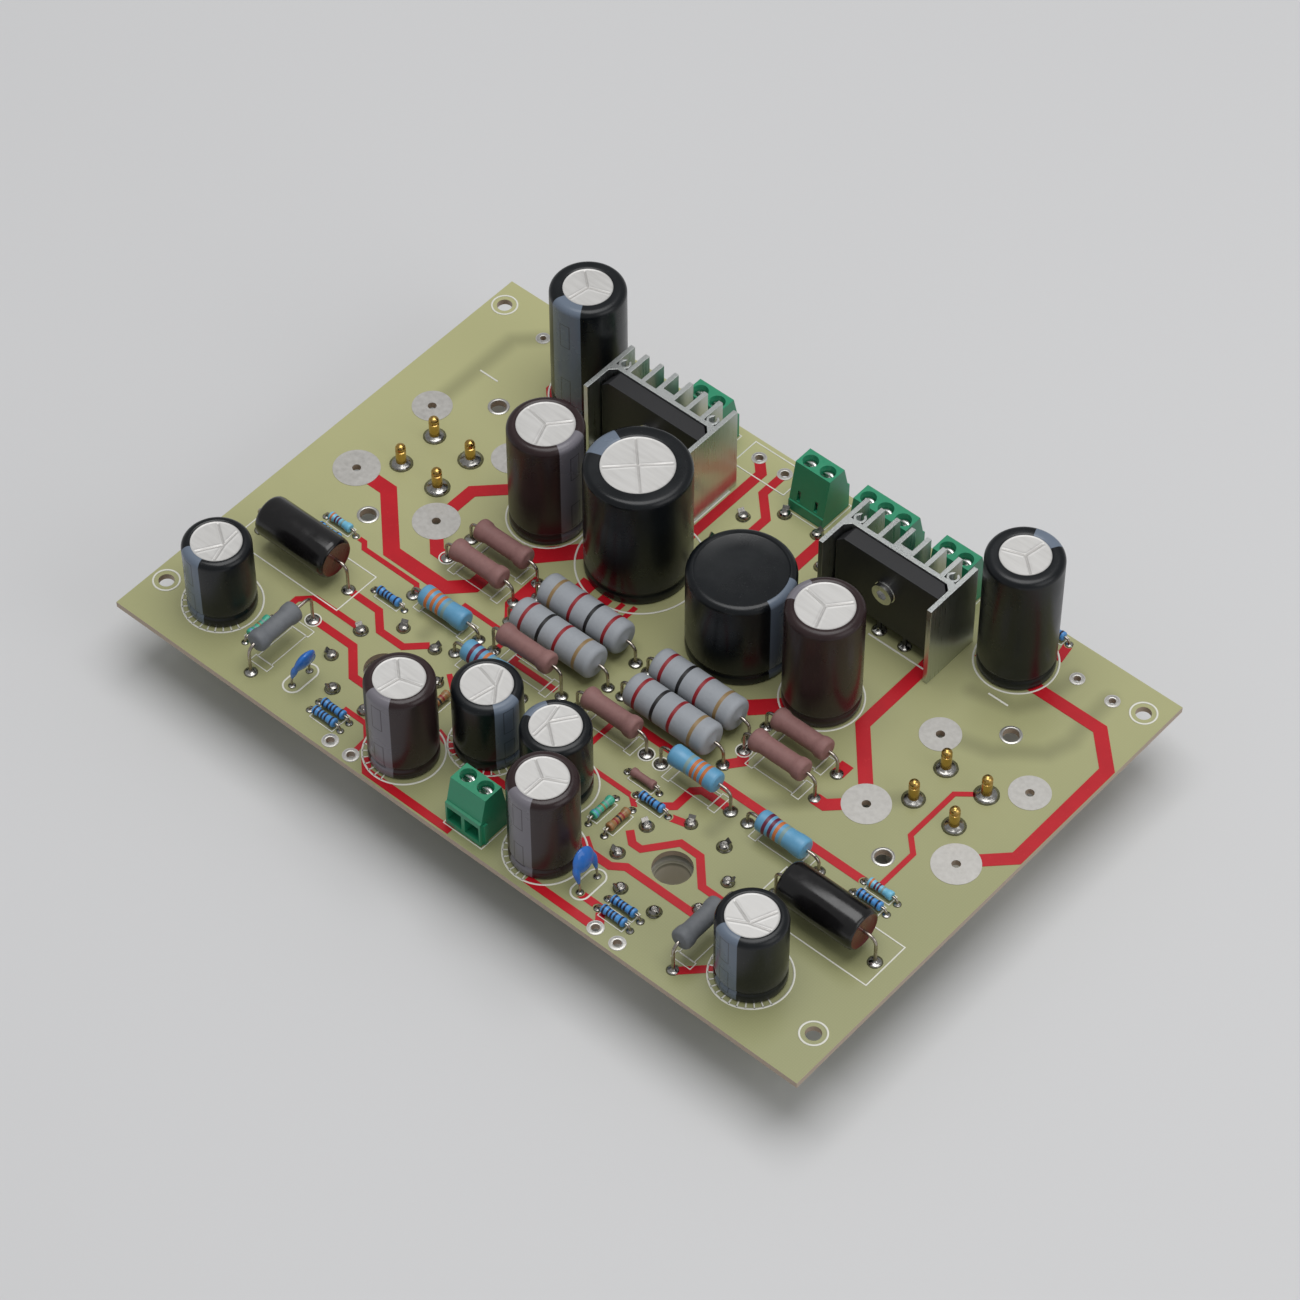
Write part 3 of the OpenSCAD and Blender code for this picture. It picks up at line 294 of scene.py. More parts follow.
finishes = {
    "laminate": laminateFinish(laminateLook),
    "lacquer": lacquerFinish("redLacquer", (166, 12, 28), (194, 22, 36), 0.34),
    "tin": metalFinish("tinnedCopper", (166, 163, 158), (202, 200, 196), 0.38, 0.58, 900.0, metallic=0.6),
    "eyelet": metalFinish("platedBrass", (170, 168, 163), (208, 206, 201), 0.24, 0.40, 900.0, metallic=0.8),
    "solder": metalFinish("brightSolder", (106, 104, 100), (214, 212, 207), 0.10, 0.34, 1300.0, bump=0.5, depth=0.12),
    "tail": metalFinish("agedTin", (88, 84, 78), (196, 193, 188), 0.10, 0.32, 1300.0, bump=0.5, depth=0.12),
    "wire": metalFinish("tinnedWire", (120, 104, 92), (206, 200, 192), 0.18, 0.36, 500.0),
    "gold": metalFinish("goldPlate", (168, 132, 62), (218, 184, 112), 0.16, 0.30, 500.0, bump=0.05),
    "steel": metalFinish("brightSteel", (176, 176, 174), (226, 226, 224), 0.16, 0.34, 800.0),
    "aluminium": metalFinish("bareAluminium", (186, 190, 188), (218, 221, 219), 0.24, 0.38, 260.0,
                             (9, 9, 0.35), bump=0.12),
    "keyedCeramic": boredFinish("keyedCeramic", keyBoreLook),
}
finishes.update({key: mouldedFinish(*look) for key, look in mouldedLooks.items()})
print("finishes made:", len(finishes))


# small tools for meshes, all in millimetres until the mesh is made
def newShape():
    return {"verts": [], "faces": [], "wraps": [], "slots": []}


def addLathe(shape, profile, place, steps=64, slotOf=None, capFrom=None, capTurn=0.0, first=0.0, press=None):
    rings = []
    for level, (radius, height) in enumerate(profile):
        count = 1 if radius < 1e-6 else steps
        ring = []
        for j in range(count):
            angle = first + 2 * math.pi * j / steps
            spot = Vector((radius * math.cos(angle), radius * math.sin(angle), height))
            if press and level > capFrom + 1:
                spot.z += press(radius * math.cos(angle - capTurn), radius * math.sin(angle - capTurn))
            ring.append((len(shape["verts"]), spot))
            shape["verts"].append(place @ spot)
        rings.append(ring)
    for i in range(len(rings) - 1):
        low, high = rings[i], rings[i + 1]
        for j in range(steps):
            k = (j + 1) % steps
            here, there = j / steps, (j + 1) / steps
            corners = [(low, j, here), (low, k, there), (high, k, there), (high, j, here)]
            if len(low) == 1:
                corners.pop(1)
            if len(high) == 1:
                corners.pop()
            picked = [(ring[n % len(ring)], u) for ring, n, u in corners]
            shape["faces"].append([index for (index, spot), u in picked])
            if capFrom is not None and i >= capFrom:  # the lid has a flat map, turned to its scores
                cos, sin = math.cos(-capTurn), math.sin(-capTurn)
                shape["wraps"].append([(s.x * cos - s.y * sin, s.x * sin + s.y * cos) for (index, s), u in picked])
            else:
                shape["wraps"].append([(u, s.z) for (index, s), u in picked])
            shape["slots"].append(slotOf(i) if slotOf else 0)


def makePiece(name, shape, materials, sharp=42):
    mesh = bpy.data.meshes.new(name)
    mesh.from_pydata([tuple(v * mm) for v in shape["verts"]], [], shape["faces"])
    wrap = mesh.uv_layers.new(name="wrap")
    wrap.data.foreach_set("uv", [part for face in shape["wraps"] for pair in face for part in pair])
    mesh.polygons.foreach_set("material_index", shape["slots"])
    mesh.polygons.foreach_set("use_smooth", [True] * len(mesh.polygons))
    mesh.set_sharp_from_angle(angle=math.radians(sharp))
    for material in materials:
        mesh.materials.append(material)
    return addObject(name, mesh)


def seatPiece(piece, slotName, *replaced, body="board"):
    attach(piece, body)
    if replaced:
        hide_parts(*replaced)
    return piece


def arcPoints(centre, radius, start, end, steps):
    angles = [math.radians(start + (end - start) * i / steps) for i in range(steps + 1)]
    return [(centre[0] + radius * math.cos(a), centre[1] + radius * math.sin(a)) for a in angles]


# small tools for geometry node trees
def startTree(name, inputs):
    tree = bpy.data.node_groups.new(name, "GeometryNodeTree")
    tree.interface.new_socket("Geometry", in_out="INPUT", socket_type="NodeSocketGeometry")
    for label, kind, value in inputs:
        socket = tree.interface.new_socket(label, in_out="INPUT", socket_type="NodeSocket" + kind)
        if value is not None:
            socket.default_value = value
    tree.interface.new_socket("Geometry", in_out="OUTPUT", socket_type="NodeSocketGeometry")
    return tree, tree.nodes.new("NodeGroupInput").outputs, tree.nodes.new("NodeGroupOutput").inputs


def geo(tree, kind, output, inputs, **settings):  # adds a geometry node and gives its result
    return addNode(tree, "GeometryNode" + kind, inputs, **settings).outputs[output]


def endTree(tree, given, result, shape):
    real = geo(tree, "RealizeInstances", "Geometry", {"Geometry": shape})
    last = geo(tree, "SetMaterial", "Geometry", {"Geometry": real, "Material": given["Finish"]})
    tree.links.new(last, result["Geometry"])
    return tree


def settle(piece, tree, values):  # runs the tree on the piece and keeps a plain mesh
    modifier = piece.modifiers.new(tree.name, "NODES")
    modifier.node_group = tree
    for item in tree.interface.items_tree:
        if item.in_out == "INPUT" and item.name in values:
            modifier[item.identifier] = values[item.name]
    keepShape(piece).data.name = piece.name
    return piece


def startRoutes(name, routes):  # open runs and closed loops as a mesh of edges
    verts, edges = [], []
    for points, closed in routes:
        first = len(verts)
        verts += [tuple(Vector(p) * mm) for p in points]
        edges += [(first + i, first + i + 1) for i in range(len(points) - 1)]
        if closed:
            edges.append((first + len(points) - 1, first))
    mesh = bpy.data.meshes.new(name)
    mesh.from_pydata(verts, edges, [])
    return addObject(name, mesh)


# carried-over solids with their own finishes
plainNodes = {
    "laminate": ["circuit_board"],
    "lacquer": ["lacquered_tracks"],
    "tin": ["tinned_pads", "heatsink_pins", "terminal_bars"],
    "tail": ["octal_contacts"],
    "gold": ["output_contacts"],
    "steel": ["heatsink_screws"],
    "ceramic": ["output_socket_left", "output_socket_right"],
    "keyedCeramic": ["octal_socket_left", "octal_socket_right", "octal_socket_rear"],
}
plainNodes["tin"] += [name for name in nodes if name.startswith("clamp_")]
for finishName, names in plainNodes.items():
    for name in names:
        nodes[name].data.materials.clear()
        nodes[name].data.materials.append(finishes[finishName])
print("solids finished")


# mouldings and extrusions with softened edges
softEdges = {
    "green": {"width": 0.14, "slot": "green_moulding", "names": ["terminal_front", "terminal_back_1",
        "terminal_back_2", "terminal_back_3", "terminal_back_4"]},
    "aluminium": {"width": 0.09, "slot": "bare_aluminium", "names": ["heatsink_left", "heatsink_right"]},
    "bridge": {"width": 0.3, "slot": "black_moulding", "names": ["bridge_left", "bridge_right"]},
}


def softenedCopy(name, width):
    mesh = nodes[name].data.copy()
    shell = bmesh.new()
    shell.from_mesh(mesh)
    bmesh.ops.remove_doubles(shell, verts=shell.verts, dist=1e-6)
    bmesh.ops.dissolve_limit(shell, angle_limit=math.radians(0.2), verts=shell.verts, edges=shell.edges)
    shell.to_mesh(mesh)
    shell.free()
    piece = addObject(name + "_soft", mesh)
    bevel = piece.modifiers.new("soft", "BEVEL")
    bevel.width = width * mm
    bevel.segments = 2
    bevel.limit_method = "ANGLE"
    bevel.angle_limit = math.radians(40)
    bevel.harden_normals = True
    return keepShape(piece)


for finishName, look in softEdges.items():
    for name in look["names"]:
        piece = softenedCopy(name, look["width"])
        piece.data.materials.clear()
        piece.data.materials.append(finishes[finishName])
        seatPiece(piece, look["slot"], name)
print("edges softened")


# electrolytic cans: stripe and lid angles in degrees, lid is the bare disc's radius
canLooks = {
    "tallCans": {"node": "tall_capacitors", "slot": "black_sleeve", "d": 18, "h": 36, "lid": 5.8,
        "scores": (0, 120, 240), "at": [(-61.6, 51.2, 274, 20), (63.8, 53, 85, 80)], "sleeve": "blackSleeve",
        "stripe": 26},
    "largeBrownCans": {"node": "large_brown_capacitors", "slot": "brown_sleeve", "d": 18, "h": 31.5,
        "lid": 6.75, "scores": (0, 120, 240), "at": [(-43.5, 16.4, 358, 50), (37.8, 16.4, 180, 50)],
        "sleeve": "brownSleeve", "stripe": 26},
    "mainCan": {"node": "main_capacitor", "slot": "black_sleeve", "d": 25, "h": 33.5, "lid": 8.5,
        "scores": (0, 90, 180, 270), "at": [(-18.6, 19.3, 180, 45)], "sleeve": "blackSleeve", "stripe": 22},
    "flatCan": {"node": "flat_capacitor", "slot": "black_sleeve", "d": 25, "h": 25.5, "lid": 0, "scores": (),
        "at": [(14.1, 16.5, 4, 0)], "sleeve": "blackSleeve", "stripe": 23},
    "smallBlackCans": {"node": "small_black_capacitors", "slot": "black_sleeve", "d": 16, "h": 20.7,
        "lid": 5.85, "hub": 2, "scores": (-96, -46, 46, 96), "at": [(-82, -50.6, 259, 192),
        (-9, -41.5, 348, 212), (9.9, -40.3, 173, 8), (74.6, -51.3, 263, 113)], "sleeve": "blackSleeve",
        "stripe": 24},
    "smallBrownCans": {"node": "small_brown_capacitors", "slot": "brown_sleeve", "d": 16, "h": 25.6,
        "lid": 5.85, "scores": (0, 120, 240), "at": [(-21.6, -55.5, 272, 18), (20, -55.6, 268, 29)],
        "sleeve": "brownSleeve", "stripe": 24},
}
sleeveLooks = {
    # the black sleeve is its own near-black with a bluish tint painted in as reflection
    "blackSleeve": {"dark": (9, 12, 15), "light": (17, 21, 25), "stripe": (104, 115, 130),
        "mark": (66, 72, 82)},
    "brownSleeve": {"dark": (36, 24, 25), "light": (50, 35, 36), "stripe": (116, 113, 120),
        "mark": (64, 58, 64)},
}
markLook = {"half": 1.3, "tall": 3.6, "line": 0.13, "edge": 0.0015}
# groove is painted shade in the pressed scores
lidLook = {"dull": (186, 184, 181), "bright": (214, 213, 211), "smear": (194, 192, 189), "groove": (150, 146, 142)}
scoreLook = {"start": -0.15, "rim": 0.5, "half": 0.36, "slope": 0.26, "depth": 0.2, "bankHalf": 0.8,
             "bankSlope": 0.45, "bankRise": 0.06, "ring": 0.17}


def sleeveFinish(name, look, can):  # shrunk sleeve with its stripe and polarity marks
    material, tree, shader, coords = startFinish(name, Specular_IOR_Level=0.36)
    wrap = axesOf(tree, addNode(tree, "ShaderNodeUVMap", uv_map="wrap").outputs["UV"])
    off = calc(tree, "ABSOLUTE", calc(tree, "SUBTRACT", wrap[0], 0.5))
    half = can["stripe"] / 360
    stripe = span(tree, off, half + markLook["edge"], half - markLook["edge"])
    across = calc(tree, "SUBTRACT", times(tree, off, math.pi * can["d"]), markLook["half"])
    pitch = can["h"] * 0.5
    level = calc(tree, "SUBTRACT", calc(tree, "MODULO", wrap[1], pitch), pitch * 0.5)
    down = calc(tree, "SUBTRACT", calc(tree, "ABSOLUTE", level), markLook["tall"])
    outline = calc(tree, "ABSOLUTE", calc(tree, "MAXIMUM", across, down))
    mark = calc(tree, "LESS_THAN", outline, markLook["line"])
    cloud = grain(tree, coords, 90.0, 4.0)
    dust = span(tree, grain(tree, coords, 2100.0, 2.0), 0.66, 0.8)
    colour = mixColour(tree, cloud, look["dark"], look["light"])
    colour = mixColour(tree, times(tree, dust, 0.10), colour, (150, 150, 152))
    band = mixColour(tree, times(tree, mark, 0.8), look["stripe"], look["mark"])
    colour = mixColour(tree, stripe, colour, band)
    feed(tree, shader, "Base Color", colour)
    feed(tree, shader, "Roughness", span(tree, cloud, 0.3, 0.7, 0.24, 0.36))
    ripple = grain(tree, coords, 160.0, 2.0, 0.5, (1, 1, 0.25))
    dent(tree, shader, ripple, 0.10, 0.25)
    return material


def lidFinish(name, can):  # brushed can top with its pressed scores
    material, tree, shader, coords = startFinish(name, Metallic=0.4)
    wrap = axesOf(tree, addNode(tree, "ShaderNodeUVMap", uv_map="wrap").outputs["UV"])
    grooves = []
    beside = calc(tree, "ADD", wrap[0], float(can.get("hub", 0)))
    reach = calc(tree, "SQRT", calc(tree, "ADD", times(tree, wrap[0], wrap[0]), times(tree, wrap[1], wrap[1])))
    for angle in can["scores"]:
        cos, sin = math.cos(math.radians(angle)), math.sin(math.radians(angle))
        along = calc(tree, "ADD", times(tree, beside, cos), times(tree, wrap[1], sin))
        across = calc(tree, "ABSOLUTE", calc(tree, "SUBTRACT", times(tree, wrap[1], cos), times(tree, beside, sin)))
        inside = times(tree, calc(tree, "GREATER_THAN", along, scoreLook["start"]),
                       calc(tree, "LESS_THAN", reach, can["lid"] - scoreLook["rim"]))
        grooves.append(times(tree, inside, span(tree, across, 0.26, 0.12)))
    brushed = grain(tree, coords, 700.0, 4.0, 0.65, (0.12, 1.6, 1))
    cloud = grain(tree, coords, 240.0, 4.0)
    colour = mixColour(tree, brushed, lidLook["dull"], lidLook["bright"])
    colour = mixColour(tree, times(tree, cloud, 0.35), colour, lidLook["smear"])
    # painted shade: the pressed scores are darkened
    if grooves:
        colour = mixColour(tree, times(tree, largest(tree, grooves), 0.35), colour, lidLook["groove"])
    dent(tree, shader, brushed, 0.15, 0.03)
    feed(tree, shader, "Base Color", colour)
    feed(tree, shader, "Roughness", span(tree, brushed, 0.3, 0.7, 0.42, 0.56))
    return material


footLook = [(2, 0.5), (1.6, 0.06), (0.6, 0), (0.18, 0.16), (0, 0.6), (0, 2.0), (0.08, 2.35), (0.28, 2.75),
            (0.38, 3.0), (0.28, 3.25), (0.08, 3.65), (0, 4.0)]  # inset and level of the sleeve's foot


def canProfile(can):
    radius, height, lid, bend = can["d"] / 2, can["h"], can["lid"], 1.7
    side = [(0, footLook[0][1])] + [(radius - inset, level) for inset, level in footLook]
    side += [(radius, height * 0.4), (radius, height * 0.7)]
    side += [(radius - bend + bend * math.cos(a), height - bend + bend * math.sin(a))
             for a in [math.pi / 2 * i / 9 for i in range(10)]]
    if not lid:  # sleeve over the whole top, sunk inside a rim
        return side + [(radius * 0.875, height), (radius * 0.86, height - 0.1), (radius * 0.85, height - 0.3),
                (radius * 0.83, height - 0.38), (radius * 0.5, height - 0.4), (0, height - 0.4)], len(side) + 1
    side += [(lid + 0.5, height - 0.02), (lid + 0.2, height - 0.06), (lid, height - 0.2)]
    count = math.ceil(lid / scoreLook["ring"])
    sunk = [((lid - 0.25) * (1 - i / count), height - 0.33) for i in range(count)] + [(0, height - 0.33)]
    return side + sunk, len(side) - 1


def pressFor(can, look):  # height of the pressed scores and their banks at a place on the lid
    def press(x, y):
        beside, groove, bank = x + can.get("hub", 0), 0.0, 0.0
        for angle in can["scores"]:
            cos, sin = math.cos(math.radians(angle)), math.sin(math.radians(angle))
            if beside * cos + y * sin > look["start"] and math.hypot(x, y) < can["lid"] - look["rim"]:
                across = abs(y * cos - beside * sin)
                groove = max(groove, min(1.0, max(0.0, (look["half"] - across) / look["slope"])))
                bank = max(bank, min(1.0, max(0.0, (look["bankHalf"] - across) / look["bankSlope"])))
        return look["bankRise"] * bank - look["depth"] * groove
    return press


for name, can in canLooks.items():
    shape = newShape()
    profile, lidFrom = canProfile(can)
    press = pressFor(can, scoreLook) if can["lid"] else None
    for x, y, stripeAngle, lidAngle in can["at"]:
        addLathe(shape, profile, Matrix.Translation((x, y, seat)), 192, lambda i: 1 if i >= lidFrom else 0,
                 lidFrom, math.radians(lidAngle), math.radians(stripeAngle - 180), press)
    sleeve = sleeveLooks[can["sleeve"]]
    top = lidFinish(name + "Lid", can) if can["lid"] else sleeveFinish(name + "Top", sleeve, {**can, "stripe": -1})
    materials = [sleeveFinish(name + "Sleeve", sleeve, can), top]
    seatPiece(makePiece(name, shape, materials, 55), can["slot"], can["node"])
print("cans made")


# parts that lie along the board: sizes in millimetres, axes above the board, bands as share of the length
axialLooks = {
    "powerResistors": {"node": "power_resistors", "slot": "grey_coating", "len": 23.5, "d": 8.2, "waist": 0.06,
        "cap": 2.2, "axes": (5.9, 5.9, 5.9, 5.9), "pitch": 29.5, "coat": "powerCoat", "bandWidth": 0.9,
        "boss": 0.9, "at": [(-14.5, -12.6, "x", "A"), (-14.5, -3.3, "x", "B"), (19, -12.4, "x", "A"),
        (18.8, -3.4, "x", "A")], "marks": {"A": [(0.15, "redBand"), (0.37, "blackBand"), (0.58, "redBand"),
        (0.83, "goldBand")], "B": [(0.17, "goldBand"), (0.42, "redBand"), (0.63, "blackBand"),
        (0.85, "redBand")]}},
    "woundResistors": {"node": "wirewound_resistors", "slot": "pink_coating", "len": 14.8, "d": 5.4,
        "waist": 0.42, "cap": 2.3, "axes": (5.8, 6, 7, 5.8, 8.8, 6.4), "pitch": 20.2, "coat": "pinkCoat",
        "bandWidth": 0.8, "boss": 0.5, "at": [(-42.4, -8, "x", "A"), (-42, -0.2, "x", "A"),
        (44.7, -6.4, "x", "A"), (44.1, 2, "x", "A"), (-16, -21.2, "x", "A"), (9, -21.2, "x", "A")],
        "marks": {"A": []}},
    "blueResistors": {"node": "blue_resistors", "slot": "blue_coating", "len": 13, "d": 5.2, "waist": 0.2,
        "cap": 3, "axes": (3.4, 4.6, 6.9, 4.6), "pitch": 20, "coat": "blueCoat", "bandWidth": 0.85, "boss": 0.3,
        "at": [(-40.8, -21.2, "x", "A"), (-22.2, -27.5, "x", "B"), (33.3, -21.2, "x", "C"),
        (58.2, -21.2, "x", "D")], "marks": {"A": [(0.2, "orangeBand"), (0.33, "orangeBand"),
        (0.45, "orangeBand"), (0.58, "greyBand")], "B": [(0.22, "maroonBand"), (0.36, "maroonBand"),
        (0.5, "orangeBand"), (0.62, "greyBand")], "C": [(0.4, "greyBand"), (0.53, "orangeBand"),
        (0.63, "orangeBand"), (0.76, "orangeBand")], "D": [(0.2, "maroonBand"), (0.32, "maroonBand"),
        (0.43, "orangeBand"), (0.56, "greyBand")]}},
    "slateResistors": {"node": "grey_resistors", "slot": "slate_coating", "len": 13, "d": 5.2, "waist": 0.36,
        "cap": 2.6, "axes": (8.2, 8.2), "shift": -1.5, "pitch": 20, "coat": "slateCoat", "bandWidth": 0.8,
        "boss": 0.5, "at": [(-62.8, -51.3, "y", "A"), (61.6, -51.4, "y", "A")], "marks": {"A": []}},
    "filmCapacitors": {"node": "film_capacitors", "slot": "black_film", "len": 21, "d": 10.2, "waist": 0,
        "cap": 1, "axes": (8, 8), "pitch": 27.5, "coat": "film", "bandWidth": 0.8, "boss": 0, "ends": "epoxy",
        "at": [(-76.6, -29.6, "x", "A"), (78.8, -31.8, "x", "A")], "marks": {"A": []}},
}
darkFive = [(0.12, "navyBand"), (0.3, "navyBand"), (0.45, "navyBand"), (0.6, "navyBand"), (0.86, "navyBand")]
smallLook = {
    "len": 6.4, "d": 2.2, "waist": 0.2, "cap": 1.2, "axis": 1.5, "pitch": 9.2, "bandWidth": 0.5, "boss": 0.0,
}
smallGroups = {
    "smallBlueResistors": ["smallBlue", darkFive, [(-77.3, -20.6, "x"), (81.9, -20.6, "x"), (-40.8, -57.6, "x"),
        (-40.8, -60.5, "x"), (43.4, -56.4, "x"), (43.4, -59.7, "x"), (-53.8, -25.8, "x"), (29.4, -31.2, "x"),
        (65.3, 64.4, "x")]],
    "smallPaleResistors": ["paleBlue", [(0.14, "orangeBand"), (0.32, "maroonBand"), (0.45, "maroonBand"),
        (0.62, "greyBand")], [(-77.3, -16.8, "x"), (81.9, -16.9, "x")]],
    "smallGreenResistors": ["greenCoat", [(0.12, "blueCoat"), (0.3, "greyBand"), (0.5, "goldBand"),
        (0.68, "greyBand")], [(22.2, -39.4, "y"), (-69.8, -51.3, "y")]],
    "smallBrownResistors": ["carbonCoat", [(0.14, "goldBand"), (0.34, "redBand"), (0.5, "blackBand"),
        (0.66, "redBand"), (0.86, "goldBand")], [(27, -39.6, "y"), (-24.7, -41, "y")]],
    "smallMauveResistors": ["pinkCoat", [], [(23.8, -27.6, "x")]],
}
crimpLook = [(1.5, 0.35), (1.1, 0.2), (0.75, 0), (0.45, 0.12), (0.15, 0.6), (0, 1.4)]  # inset and reach


def axialProfile(look):
    half, radius, waist, cap = look["len"] / 2, look["d"] / 2, look["waist"], look["cap"]
    if look.get("ends"):  # crimped tube over a sunk plug
        left = [(0, crimpLook[0][1] - half)] + [(radius - inset, reach - half) for inset, reach in crimpLook]
    else:
        edge = radius * 0.3
        turn = [(radius - edge + edge * math.sin(a), edge - edge * math.cos(a) - half)
                for a in [math.pi / 2 * i / 6 for i in range(7)]]
        boss = look["boss"]
        left = [(0, -half - boss * 0.5)]
        left += [(0.55, -half - boss * 0.5), (0.75 + boss * 0.6, -half)] if boss else []
        left += turn + [(radius, cap * 0.75 - half), (radius - waist * 0.2, cap * 0.95 - half),
                (radius - waist * 0.8, cap * 1.2 - half), (radius - waist, cap * 1.45 - half)]
    return left + [(r, -z) for r, z in reversed(left)]


def bandedProfile(profile, look, marks):  # adds rings at the edges of the painted bands
    wide, half = look["bandWidth"] / 2, look["len"] / 2
    cuts = sorted(share * look["len"] - half + side * wide for share, colour in marks for side in (-1, 1))
    points = []
    for (r0, z0), (r1, z1) in zip(profile, profile[1:]):
        points.append((r0, z0))
        points += [(r0 + (r1 - r0) * (cut - z0) / (z1 - z0), cut) for cut in cuts if z0 + 1e-6 < cut < z1 - 1e-6]
    return points + [profile[-1]]


def addAxial(shape, look, x, y, way, axis, marks, palette):
    turn = Matrix.Rotation(math.radians(90), 4, "Y") if way == "x" else Matrix.Rotation(math.radians(-90), 4, "X")
    place = Matrix.Translation((x, y, boardTop + axis)) @ turn @ Matrix.Translation((0, 0, look.get("shift", 0)))
    profile = bandedProfile(axialProfile(look), look, marks)
    half = look["len"] / 2

    def slotOf(i):
        middle = (profile[i][1] + profile[i + 1][1]) / 2
        for share, colour in marks:
            if abs(middle - share * look["len"] + half) < look["bandWidth"] / 2:
                return palette.index(colour)
        outer = max(profile[i][0], profile[i + 1][0])
        if look.get("ends") and abs(middle) > half - 0.36 and outer < look["d"] / 2 - 0.7:
            return palette.index(look["ends"])
        return 0
    addLathe(shape, profile, place, 40 if look["d"] > 3 else 24, slotOf)


def leadRoute(look, x, y, way, axis, side):  # from the end of the body, over the pad and down through the board
    flat = [(side * (look["len"] / 2 - 0.6) + look.get("shift", 0), axis), (side * look["pitch"] / 2, axis),
            (side * look["pitch"] / 2, boardUnder - boardTop - tailLength)]
    return [((x + d, y, boardTop + h) if way == "x" else (x, y + d, boardTop + h)) for d, h in flat], False


tailLength = 1.3  # of a lead below the board
thickRoutes, thinRoutes = [], []
for name, look in axialLooks.items():
    shape = newShape()
    palette = [look["coat"]] + sorted({c for marks in look["marks"].values() for s, c in marks})
    palette += [look["ends"]] if look.get("ends") else []
    for (x, y, way, key), axis in zip(look["at"], look["axes"]):
        addAxial(shape, look, x, y, way, axis, look["marks"][key], palette)
        thickRoutes += [leadRoute(look, x, y, way, axis, side) for side in (-1, 1)]
    seatPiece(makePiece(name, shape, [finishes[p] for p in palette], 40), look["slot"], look["node"])
for name, (coat, marks, spots) in smallGroups.items():
    shape = newShape()
    palette = [coat] + sorted({c for s, c in marks})
    for x, y, way in spots:
        addAxial(shape, smallLook, x, y, way, smallLook["axis"], marks, palette)
        thinRoutes += [leadRoute(smallLook, x, y, way, smallLook["axis"], side) for side in (-1, 1)]
    piece = makePiece(name, shape, [finishes[p] for p in palette], 40)
    seatPiece(piece, "bright_blue_coating", *(["small_resistors"] if name == "smallBlueResistors" else []))
print("resistors and film capacitors made")


# dipped discs
def meltedPiece(piece, look):  # disc and feet flow into one skin
    melt = piece.modifiers.new("melt", "REMESH")
    melt.mode = "VOXEL"
    melt.voxel_size = look["grid"] * mm
    melt.use_smooth_shade = True
    flow = piece.modifiers.new("flow", "SMOOTH")
    flow.factor = 0.5
    flow.iterations = look["flow"]
    return keepShape(piece)


discLook = {
    "d": 6.4, "t": 2.6, "axis": 7.8, "foot": 2.2, "pitch": 5.6, "grid": 0.16, "flow": 16,
    "at": [(-53.2, -55.3, 18), (33.1, -56.2, -14)],
}
dipFoot = [(0, 0.6), (0.36, 0.65), (0.46, 1.2), (0.62, 2.0), (0.78, 2.9), (0.84, 3.8), (0.78, 4.6), (0.5, 5.4),
           (0, 5.8)]  # radius and level of the dip that runs down a lead
shape = newShape()
for x, y, lean in discLook["at"]:
    radius, thick = discLook["d"] / 2, discLook["t"] / 2
    base = Matrix.Translation((x, y, boardTop + discLook["foot"])) @ Matrix.Rotation(math.radians(lean), 4, "Y")
    side = [(radius * math.sin(a), -thick * math.cos(a) * (0.72 + 0.28 * math.cos(a) ** 2))
            for a in [math.pi * i / 22 for i in range(23)]]
    side[0], side[-1] = (0, -thick), (0, thick)
    up = discLook["axis"] - discLook["foot"]
    addLathe(shape, side, base @ Matrix.Translation((0, 0, up)) @ Matrix.Rotation(math.radians(90), 4, "Y"), 48)
    for reach in (-discLook["pitch"] / 2, discLook["pitch"] / 2):
        addLathe(shape, dipFoot, base @ Matrix.Translation((0, reach, 0)), 20)
        knee = base @ Vector((0, reach, 1.0))
        down = [(x, y + reach, boardTop + 1.6), (x, y + reach, boardUnder - tailLength)]
        thinRoutes.append(([tuple(knee)] + down, False))
piece = meltedPiece(makePiece("ceramicDiscs", shape, [finishes["dip"]], 60), discLook)
seatPiece(piece, "blue_dip", "ceramic_capacitors")
print("discs made")


# bent leads, drawn along their routes
leadLooks = {"thickLeads": {"routes": thickRoutes, "radius": 0.4, "bend": 2.0},
             "thinLeads": {"routes": thinRoutes, "radius": 0.3, "bend": 1.0}}


def leadTree():
    tree, given, result = startTree("bentLead", [("Wire radius", "Float", 0.0004),
            ("Bend radius", "Float", 0.002), ("Finish", "Material", None)])
    line = geo(tree, "MeshToCurve", "Curve", {"Mesh": given["Geometry"]})
    bent = geo(tree, "FilletCurve", "Curve", {"Curve": line, "Radius": given["Bend radius"], "Limit Radius": True,
            "Count": 7}, mode="POLY")
    ring = geo(tree, "CurvePrimitiveCircle", "Curve", {"Resolution": 12, "Radius": given["Wire radius"]})
    tube = geo(tree, "CurveToMesh", "Mesh", {"Curve": bent, "Profile Curve": ring, "Fill Caps": True})
    smooth = geo(tree, "SetShadeSmooth", "Geometry", {"Geometry": tube})
    return endTree(tree, given, result, smooth)


leads = leadTree()
for name, look in leadLooks.items():
    piece = settle(startRoutes(name, look["routes"]), leads,
            {"Wire radius": look["radius"] * mm, "Bend radius": look["bend"] * mm, "Finish": finishes["wire"]})
    seatPiece(piece, "tin")
print("leads drawn")


